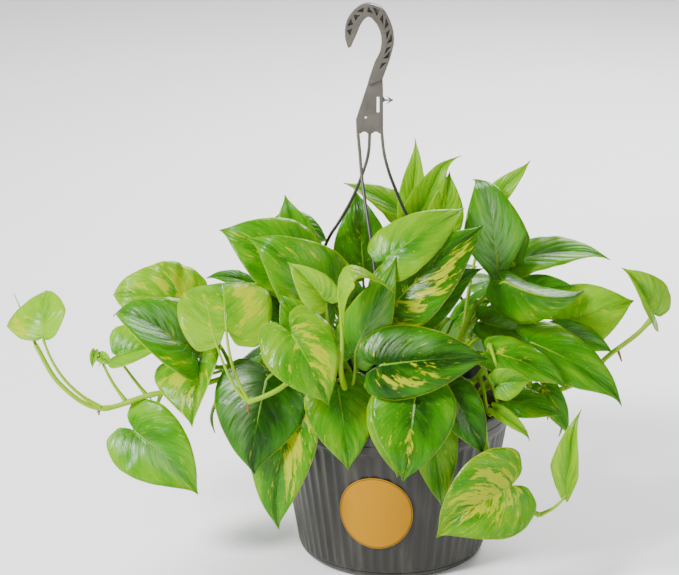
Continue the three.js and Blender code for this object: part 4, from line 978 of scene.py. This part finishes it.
                 wide=1.02, faces=(0, 0.3), fold=(-10, 44), lobes=1.2, tone=0.5, gold=0.6,
                 patch=(0.1, 0.45, 0.5)),
            leaf(joins=(541, 517, 109), stalk=[(556, 509, 107)], base=(568, 498, 105), tip=(579, 411, 100),
                 wide=0.44, faces=(-0.2, 0.1), fold=(10, 60), lobes=0.2, heel=0.35, tone=0.74, gold=0.5),
        ],
    },
}

# %% [markdown]
# The back of the plant isn't in the picture, so it is grown by a rule: five more cuttings, each with a low
# pair of leaves over the rim, a middle pair and one leaf on top, spread by seeded draws.

# %% The stems behind
BACK_TURNS = [14, 54, 90, 126, 166]
BACK_SPREAD, BACK_STEP = 8.5, 9
BACK_RINGS = [
    ((116, 172), (154, 98), -BACK_SPREAD, 0),
    ((116, 172), (154, 98), BACK_SPREAD, BACK_STEP),
    ((105, 222), (172, 198), -BACK_SPREAD, 0),
    ((105, 222), (172, 198), BACK_SPREAD, BACK_STEP),
    ((62, 214), (116, 236), 0, 0),
]
BACK_SEED = 20261127
WORD = 0xFFFFFFFF


def seeded_draws(seed):
    """The same repeatable sequence of numbers from 0 to 1 that places these leaves in the CAD model."""
    state = seed
    while True:
        state = (state + 0x6D2B79F5) & WORD
        mixed = ((state ^ (state >> 15)) * (1 | state)) & WORD
        mixed ^= (mixed + (mixed ^ (mixed >> 7)) * (61 | mixed)) & WORD
        yield (mixed ^ (mixed >> 14)) / 4294967296


def round_axis(turn, radius, height):
    angle = math.radians(turn)
    return Vector((radius * math.cos(angle), radius * math.sin(angle), height)) * MM


draws = seeded_draws(BACK_SEED)


def vary(amount):
    return amount * (2 * next(draws) - 1)


def back_leaf(turn, ring, look):
    (base_radius, base_height), (tip_radius, tip_height), spread, stand = ring
    direction = turn + spread + vary(1)
    base = round_axis(direction, base_radius, base_height)
    tip = round_axis(direction + vary(2), tip_radius + vary(6), tip_height + vary(3))
    across = round_axis(direction + 90, 1, 0)
    normal = -across.cross(tip - base).normalized()
    base += normal * stand * MM
    tip += normal * stand * MM
    wide = 0.72 + vary(0.06)
    arch = 0.12 + vary(0.03)
    tone, gold = look.uniform(0.1, 0.75), look.uniform(0, 0.5)
    return leaf(base=base, tip=tip, wide=wide, arch=arch, normal=normal, tone=tone, gold=gold)


stems = {}
for name, vine in SHOWN_VINES.items():
    rows = []
    for row in vine["leaves"]:
        row = dict(row, base=seen(row["base"]), tip=seen(row["tip"]))
        row["joins"] = seen(row["joins"]) if row["joins"] else None
        row["stalk"] = [seen(place) for place in row["stalk"]] if row["stalk"] else None
        rows.append(row)
    spikes = [[seen(place) for place in spike] for spike in vine.get("spikes", [])]
    route = [seen(place) for place in vine["route"]]
    stems[name] = {"root": vine["root"], "route": route, "leaves": rows, "spikes": spikes}
look = random.Random(3)
for number, turn in enumerate(BACK_TURNS, 1):
    root = round_axis(turn, 50, 0) / MM
    route = [round_axis(turn, 60, 165), round_axis(turn, 72, 192)]
    rows = [back_leaf(turn, ring, look) for ring in BACK_RINGS]
    stems["vine_back_%d" % number] = {"root": (root.x, root.y), "route": route, "leaves": rows, "spikes": []}
print(len(stems), "stems with", sum(len(stem["leaves"]) for stem in stems.values()), "leaves")

# %% [markdown]
# A stem leaves the mix upright, then follows its route. It is a little thicker where a leaf stalk leaves
# it, and older nodes carry short brown aerial roots. A leaf stalk is sheathed and thick at its foot, thins
# upwards, and runs on under the blade as the midrib.

# %% Growing a stem
SOIL_TOP = 130
STEM_RADIUS, STEM_TIP_RADIUS = 2.7, 2.1
STALK_RADIUS, STALK_TIP_RADIUS = 1.75, 1.1
STALK_SIDES, STEM_SIDES = 9, 12


def paint(piece, tone, kind):
    """Stores a rod's looks as the leaves store theirs; kind is 0 for green and 1 for brown parts."""
    mesh = piece.data
    for layer in ("looks", "spots"):
        mesh.color_attributes.new(name=layer, type="FLOAT_COLOR", domain="POINT")
    looks, spots = mesh.attributes["looks"], mesh.attributes["spots"]
    for vertex in mesh.vertices:
        looks.data[vertex.index].color = (tone, 0, 0, 1)
        spots.data[vertex.index].color = (0, 0, kind, 1)
    return piece


def stalk_path(placed, start):
    reach = (placed["base"] - start).length
    under = placed["base"] - placed["up"] * 0.22 * reach - placed["along"] * 0.12 * reach
    under.z -= 0.18 * reach
    lifted = start.lerp(under, 0.4)
    lifted.z += 0.1 * reach
    return [start, *(placed["stalk"] or [lifted, under])]


def midrib_path(placed):
    """Points just under the blade's midrib, from its base towards its tip."""
    shares = (0.02, 0.08, 0.2, 0.35, 0.5, 0.65, 0.8)
    return [on_blade(placed, share, 0) - placed["up"] * 0.55 * MM for share in shares]


def stalk_radius(stalk_share, stout):
    """Thick at the sheath, then thin, with a small joint where the blade starts, then the midrib."""
    def radius(share):
        if share > stalk_share:
            return 0.95 * (1 - (share - stalk_share) / (1 - stalk_share)) ** 0.8 + 0.12
        part = share / stalk_share
        sheath = 0.55 * max(0, 1 - part / 0.25)
        joint = 0.3 * math.exp(-(((part - 0.95) / 0.04) ** 2))
        width = STALK_RADIUS * (1 + (stout - 1) * (1 - part))
        return width + (STALK_TIP_RADIUS - STALK_RADIUS) * part + sheath + joint
    return radius


def grow(name, stem, first_number):
    x, y = stem["root"]
    upright = [Vector((x, y, z)) * MM for z in (SOIL_TOP, SOIL_TOP + 9)]
    path = curve_through([*upright, *stem["route"]])
    buried = [Vector((x, y, SOIL_TOP - 12)) * MM]
    blades, rods, joints = [], [], []
    for i, row in enumerate(stem["leaves"]):
        even_share = 0.55 + 0.43 * i / max(1, len(stem["leaves"]) - 1)
        start = row["joins"] or point_at(path, even_share)
        joints.append(start)
        blade, placed = bent_copy(row, first_number + i)
        blades.append(blade)
        ribs = midrib_path(placed)
        stalk = curve_through([*stalk_path(placed, start), ribs[0]])
        whole = curve_through([*stalk_path(placed, start), *ribs])
        share = min(0.9, lengths(stalk)[-1] / lengths(whole)[-1])
        stalk = rod("stalk", whole, stalk_radius(share, row["stout"]), STALK_SIDES)
        rods.append(paint(stalk, 0.35 + 0.6 * row["tone"], 0))
    green = 0.75 if name in ("vine_far_left", "vine_far_right", "vine_arching", "vine_trailing") else 0.5

    def radius(share):
        here = point_at(path, share)
        swelling = max(math.exp(-(((here - joint).length / (4 * MM)) ** 2)) for joint in joints)
        return STEM_RADIUS + (STEM_TIP_RADIUS - STEM_RADIUS) * share + 0.6 * swelling

    rods.append(paint(rod("stem", buried + path, radius, STEM_SIDES, spacing=3 * MM), green, 0))
    for i, joint in enumerate(joints[:-1]):
        turn = 2.4 * i + x
        away = Vector((math.cos(turn), math.sin(turn), -0.5))
        root = [joint, joint + away * 3.2 * MM, joint + away * 4.6 * MM + Vector((0, 0, -1.5)) * MM]
        root = rod("aerial_root", curve_through(root), lambda share: 0.85 - 0.55 * share, 7, 0.6 * MM)
        rods.append(paint(root, 0.2, 1))
    for spike in stem["spikes"]:
        long = (spike[-1] - spike[0]).length > 0.03
        taper = (lambda share: 1.7 - 1.35 * share) if long else (lambda share: 1.6 - 0.9 * share)
        rods.append(paint(rod("sheath", curve_through(spike), taper, 9), 0.8, 0 if long else 1))
    return blades, rods


print("stem helpers ready")

# %% [markdown]
# The leaf's upper face. Its ground colour runs from dark green to lime, leaf by leaf, and drifts within
# the leaf. Yellow marbling follows the side veins, which sweep forward from the midrib to the margin: noise
# is read in a space whose one axis runs along those veins, so it is drawn out into streaks. Specks and a
# pale midrib go on top, with two marks of painted light: a thin lime line at the margin is a painted
# highlight of the lit edge, and pale streaks of painted sheen stand in for the reflected studio light.
# Light shines through the blade, so part of it is translucent.

# %% Leaf colours and the space of the veins
DARK_GREEN, MID_GREEN = linear(8, 58, 0), linear(62, 142, 0)
# PALE is both the paler ground of the underside and the colour of the painted sheen on the upper face.
LIME, PALE = linear(142, 194, 0), linear(150, 180, 130)
YELLOW, STRAW = linear(184, 196, 0), linear(204, 208, 0)
GLOW = linear(190, 236, 0)


def leaf_fields(paint):
    """What both faces of a leaf read: its place on the blade, its looks, and the side veins."""
    uv, look, spots = paint.uv(), paint.channels("looks"), paint.channels("spots")
    column = paint.scaled(uv["X"], 2.0, -1.0)
    out = paint.math("ABSOLUTE", column)
    side = paint.math("GREATER_THAN", column, 0.0)
    swept = paint.scaled(out, -VEIN_SWEEP, uv["Y"])
    number = paint.scaled(swept, float(SIDE_VEINS), paint.math("MULTIPLY", side, 0.4))
    between = paint.math("MULTIPLY", paint.math("PINGPONG", number, 0.5), 2.0)
    depth = paint.scaled(look["Blue"], 37.0, paint.math("MULTIPLY", side, 5.0))
    fields = {"out": out, "swept": swept, "depth": depth, "between": between}
    fields.update(tone=look["Red"], gold=look["Green"], patch=spots["Red"], sheen=spots["Green"])
    return fields


def along_veins(paint, fields, across, along, detail=4.0, roughness=0.6):
    """Noise drawn out along the side veins, different on each leaf and on each half of it."""
    x = paint.math("MULTIPLY", fields["out"], across)
    y = paint.math("MULTIPLY", fields["swept"], along)
    return paint.noise(paint.vector(x, y, fields["depth"]), 1.0, detail, roughness)


# %% Leaf, upper face


def marbling(paint, f):
    """How yellow each place is: streaks where gold or a patch asks for them, and small specks."""
    broad = along_veins(paint, f, 2.4, 13.0, 3.0, 0.5)
    fine = along_veins(paint, f, 7.0, 60.0, 4.0, 0.6)
    streaks = paint.scaled(fine, 0.4, paint.math("MULTIPLY", broad, 0.6))
    level = paint.scaled(f["patch"], -0.15, paint.scaled(f["gold"], -0.14, 0.66))
    streaked = paint.step(streaks, level, paint.math("ADD", level, 0.025))
    specks = along_veins(paint, f, 20.0, 64.0, 2.0, 0.5)
    speck_level = paint.scaled(f["gold"], -0.16, 0.73)
    specked = paint.step(specks, speck_level, paint.math("ADD", speck_level, 0.03))
    return paint.math("MAXIMUM", streaked, paint.math("MULTIPLY", specked, 0.7))


def upper_tone(paint, f, drift, streaks):
    """The tone drifts over the leaf, is darker beside the midrib and lighter at the margin."""
    tone = paint.scaled(drift, 1.1, paint.math("SUBTRACT", f["tone"], 0.53))
    tone = paint.scaled(paint.step(f["out"], 0.02, 0.85), 0.26, paint.math("SUBTRACT", tone, 0.1))
    return paint.math("ADD", tone, paint.scaled(streaks, 0.4, -0.2), clamp=True)


def upper_colour(paint, f, streaks):
    drift = along_veins(paint, f, 1.3, 4.5, 3.0, 0.5)
    tone = upper_tone(paint, f, drift, streaks)
    colour = paint.ramp(tone, DARK_GREEN, MID_GREEN, LIME)
    yellow = paint.blend(drift, YELLOW, STRAW)
    colour = paint.blend(paint.math("MULTIPLY", marbling(paint, f), 0.92), colour, yellow)
    vein = paint.step(f["between"], 0.1, 0.0)
    colour = paint.blend(paint.math("MULTIPLY", vein, 0.08), colour, LIME)
    midrib = paint.step(f["out"], 0.014, 0.004)
    colour = paint.blend(paint.math("MULTIPLY", midrib, 0.2), colour, LIME)
    # Painted highlight: a thin yellow line along the margin stands in for light caught at the blade's thin
    # edge.
    margin_highlight = paint.step(f["out"], 0.97, 0.995)
    colour = paint.blend(paint.math("MULTIPLY", margin_highlight, 0.8), colour, YELLOW)
    # Painted sheen: where a leaf's sheen spot lies, pale streaks are blended into the colour as a painted
    # reflection of the studio light.
    shown = paint.step(f["sheen"], 0.1, 0.8)
    painted_sheen = paint.math("MULTIPLY", shown, paint.step(streaks, 0.3, 0.62))
    return paint.blend(paint.math("MULTIPLY", painted_sheen, 0.4), colour, PALE)


def upper_relief(paint, f, streaks):
    quilted = paint.math("POWER", f["between"], 0.6)
    groove = paint.step(f["out"], 0.04, 0.0)
    height = paint.math("SUBTRACT", paint.math("MULTIPLY", quilted, 0.6), groove)
    return paint.bump(paint.scaled(streaks, 0.9, height), 0.5, 0.001)


def leaf_upper():
    paint = Paint("leaf_upper")
    f = leaf_fields(paint)
    streaks = along_veins(paint, f, 3.0, 44.0, 3.0, 0.55)
    colour, normal = upper_colour(paint, f, streaks), upper_relief(paint, f, streaks)
    rough = paint.scaled(streaks, 0.36, 0.06)
    skin = paint.shader(colour, rough, normal, specular=0.3)
    glow = paint.blend(0.5, colour, GLOW)
    through = paint.add("BsdfTranslucent", [("Color", glow), ("Normal", normal)]).outputs["BSDF"]
    return paint.finish(paint.add("MixShader", [("Fac", 0.4), (1, skin), (2, through)]).outputs["Shader"])


# %% [markdown]
# The underside is paler and matt, and its veins stand out instead of being sunk.

# %% Leaf, underside


def leaf_under():
    paint = Paint("leaf_under")
    f = leaf_fields(paint)
    drift = along_veins(paint, f, 1.5, 8.0, 3.0)
    tone = paint.scaled(f["tone"], 0.5, paint.scaled(drift, 0.3, 0.15), clamp=True)
    colour = paint.blend(0.28, paint.ramp(tone, DARK_GREEN, MID_GREEN, LIME), PALE)
    vein = paint.step(f["between"], 0.2, 0.0)
    colour = paint.blend(paint.math("MULTIPLY", vein, 0.3), colour, PALE)
    midrib = paint.step(f["out"], 0.05, 0.01)
    colour = paint.blend(paint.math("MULTIPLY", midrib, 0.5), colour, LIME)
    normal = paint.bump(paint.scaled(f["between"], -0.8, paint.math("MULTIPLY", drift, 0.3)), 0.5, 0.0008)
    skin = paint.shader(colour, 0.5, normal, specular=0.2)
    glow = paint.blend(0.5, colour, GLOW)
    through = paint.add("BsdfTranslucent", [("Color", glow), ("Normal", normal)]).outputs["BSDF"]
    return paint.finish(paint.add("MixShader", [("Fac", 0.45), (1, skin), (2, through)]).outputs["Shader"])


# %% [markdown]
# Stems and stalks are yellow-green with fine lengthwise lines, and a warm blush here and there. The short
# aerial roots are brown and corky.

# %% Stems


def stem_material():
    paint = Paint("stem")
    uv, look, spots = paint.uv(), paint.channels("looks"), paint.channels("spots")
    around = paint.math("MULTIPLY", uv["X"], 14.0)
    lines = paint.noise(paint.vector(around, paint.math("MULTIPLY", uv["Y"], 30.0)))
    blotches = paint.noise(paint.place(), 150.0, 3.0)
    tone = paint.scaled(look["Red"], 0.6, paint.scaled(lines, 0.3, 0.2), clamp=True)
    green = paint.ramp(tone, linear(44, 92, 0), linear(96, 146, 0), linear(144, 182, 0))
    blush = paint.math("MULTIPLY", paint.step(blotches, 0.55, 0.75), 0.25)
    green = paint.blend(blush, green, linear(196, 150, 50))
    bark = paint.blend(blotches, linear(86, 56, 26), linear(150, 110, 60))
    colour = paint.blend(spots["Blue"], green, bark)
    normal = paint.bump(lines, 0.35, 0.0004)
    return paint.finish(paint.shader(colour, 0.36, normal, specular=0.25, subsurface=0.15))


upper, under, stem_green = leaf_upper(), leaf_under(), stem_material()
print("leaf materials:", [material.name for material in (upper, under, stem_green)])

# %% [markdown]
# Every stem is now grown. Its blades are joined and thickened together, with the underside's material on
# the lower face, and then joined with the stem and its stalks, because a cutting is one grown body.

# %% Growing every stem
count = 0
for name, stem in stems.items():
    blades, rods = grow(name, stem, count)
    count += len(blades)
    foliage = joined(blades, name + "_foliage")
    foliage.data.materials.clear()
    foliage.data.materials.append(upper)
    foliage.data.materials.append(under)
    thickness = BLADE_THICKNESS * MM
    apply(foliage, "SOLIDIFY", thickness=thickness, offset=0, material_offset=1, material_offset_rim=0)
    foliage.data.shade_smooth()
    stalks = joined(rods, name + "_stalks")
    stalks.data.materials.append(stem_green)
    finished(joined([foliage, stalks], name + "_grown"), name, slot="foliage")
bpy.data.objects.remove(flat_leaf)

# %% [markdown]
# The plastics. The basket is recycled grey-brown polypropylene: satin, with faint flow marks of a paler,
# dusty grey up the wall. The hanger is a lighter taupe of the same kind, and its colour turns darker
# below a set height, on the lower part of its legs.

# %% Plastics


def pot_material():
    paint = Paint("pot_plastic")
    cloud = paint.noise(paint.place(), 22.0, 4.0)
    flow = paint.noise(paint.stretched((90, 90, 7)))
    grain = paint.noise(paint.place(), 900.0, 2.0)
    colour = paint.blend(cloud, linear(35, 34, 32), linear(50, 49, 45))
    colour = paint.blend(paint.math("MULTIPLY", paint.step(flow, 0.4, 0.8), 0.4), colour, linear(84, 80, 70))
    rough = paint.scaled(cloud, 0.2, 0.3)
    normal = paint.bump(paint.scaled(grain, 0.5, flow), 0.15, 0.0004)
    return paint.finish(paint.shader(colour, rough, normal, specular=0.35))


def hanger_material():
    paint = Paint("hanger_plastic")
    cloud = paint.noise(paint.place(), 60.0, 4.0)
    grain = paint.noise(paint.place(), 1200.0, 2.0)
    height = paint.add("SeparateXYZ", [("Vector", paint.place())]).outputs["Z"]
    taupe = paint.blend(cloud, linear(62, 58, 52), linear(94, 89, 80))
    dark = paint.blend(cloud, linear(40, 38, 34), linear(60, 57, 52))
    # The colour turns darker below a set height, on the lower part of the legs.
    colour = paint.blend(paint.step(height, 0.33, 0.37), dark, taupe)
    normal = paint.bump(paint.scaled(cloud, 2.0, grain), 0.15, 0.0003)
    return paint.finish(paint.shader(colour, paint.scaled(cloud, 0.2, 0.3), normal))


# %% [markdown]
# The label is bare orange-yellow film with a faint fibre, and a thin dark line close to its edge is painted
# shadow along that edge. The mix is dark and crumbly, with bark chips and white perlite.

# %% Label and mix


def label_material():
    paint = Paint("label_film")
    uv = paint.add("UVMap", uv_map="disc").outputs["UV"]
    centred = paint.add("VectorMath", [(0, uv), (1, (0.5, 0.5, 0))], operation="SUBTRACT").outputs["Vector"]
    distance = paint.add("VectorMath", [(0, centred)], operation="LENGTH").outputs["Value"]
    fibre = paint.noise(paint.place(), 500.0, 3.0)
    colour = paint.blend(fibre, linear(172, 120, 0), linear(178, 126, 0))
    # Painted shadow: a thin dark ring just inside the label's edge stands in for the shadow along the film's
    # edge.
    edge_shadow_line = paint.math("MULTIPLY", paint.step(distance, 0.476, 0.48), paint.step(distance, 0.492, 0.488))
    colour = paint.blend(paint.math("MULTIPLY", edge_shadow_line, 0.8), colour, linear(76, 52, 10))
    return paint.finish(paint.shader(colour, 0.55, paint.bump(fibre, 0.08, 0.0002), specular=0.15))


def mix_material():
    paint = Paint("potting_mix")
    coarse, fine = paint.noise(paint.place(), 120.0, 5.0, 0.7), paint.noise(paint.place(), 700.0, 4.0, 0.7)
    colour = paint.blend(coarse, linear(26, 17, 11), linear(72, 50, 34))
    colour = paint.blend(paint.math("MULTIPLY", fine, 0.4), colour, linear(98, 72, 50))
    return paint.finish(paint.shader(colour, 0.95, paint.bump(paint.scaled(fine, 0.5, coarse), 0.9, 0.002)))


def crumb_material(name, dark, light):
    paint = Paint(name)
    grain = paint.noise(paint.place(), 900.0, 4.0, 0.6)
    return paint.finish(paint.shader(paint.blend(grain, dark, light), 0.85, paint.bump(grain, 0.5, 0.0006)))


pot.data.materials.append(pot_material())
label.data.materials.append(label_material())
hanger.data.materials.append(hanger_material())
soil.data.materials.append(mix_material())
perlite = crumb_material("perlite", linear(190, 186, 176), linear(232, 230, 222))
bark = crumb_material("bark_chip", linear(58, 36, 22), linear(118, 80, 50))
for i, crumb in enumerate(crumbs):
    crumb.data.materials.append(perlite if i % 3 == 0 else bark)
soil = joined([soil, *crumbs], "potting_mix")
finished(pot, "pot", slot="pot_plastic")
finished(label, "label", slot="label_film")
finished(hanger, "hanger", slot="hanger_plastic")
finished(soil, "soil", slot="potting_mix")

# %% [markdown]
# The set is a pale floor under soft studio light. A key light from the upper left draws the sheen on the
# leaves, a wider and much weaker one fills from the right, and one behind shines through the blades. The
# camera stands as high as in the picture and takes in a little more than its frame.

# %% Floor
bpy.ops.mesh.primitive_plane_add(size=40, location=(0, 0, -0.0004))
floor = made("floor")
floor_paint = Paint("floor")
grain = floor_paint.noise(floor_paint.place(), 3.0, 2.0)
pale = floor_paint.blend(grain, (0.9, 0.9, 0.9, 1), (0.93, 0.93, 0.93, 1))
matt = floor_paint.shader(pale, 0.9, floor_paint.bump(grain, 0.02, 0.001), specular=0.1)
floor.data.materials.append(floor_paint.finish(matt))

# %% Light
world = bpy.data.worlds.new("studio")
bpy.context.scene.world = world
world.use_nodes = True
world.node_tree.nodes["Background"].inputs["Color"].default_value = (1, 1, 1, 1)
world.node_tree.nodes["Background"].inputs["Strength"].default_value = 0.5


def softbox(name, place, size, power):
    bpy.ops.object.light_add(type="AREA", location=place)
    light = bpy.context.object
    light.name = light.data.name = name
    light.data.shape, light.data.size, light.data.energy = "DISK", size, power
    aim = Vector((0, 0, 0.22)) - Vector(place)
    light.rotation_euler = aim.to_track_quat("-Z", "Y").to_euler()


softbox("key", (-1.5, -1.1, 1.6), 0.6, 105)
softbox("fill", (1.6, -1.3, 0.9), 1.2, 14)
softbox("behind", (0.5, 1.5, 1.5), 1.2, 70)

# %% Camera
MARGIN = 1.008
bpy.ops.object.camera_add(location=VIEW_AIM + VIEW_TOWARDS * VIEW_DISTANCE)
camera = bpy.context.object
camera.rotation_euler = Matrix((VIEW_RIGHT, VIEW_UP, VIEW_TOWARDS)).transposed().to_euler()
camera.data.sensor_width = 36
camera.data.lens = 36 * VIEW_DISTANCE / (PICTURE[0] * METRES_PER_PIXEL * MARGIN)
bpy.context.scene.camera = camera
print("lens:", round(camera.data.lens, 1), "mm")
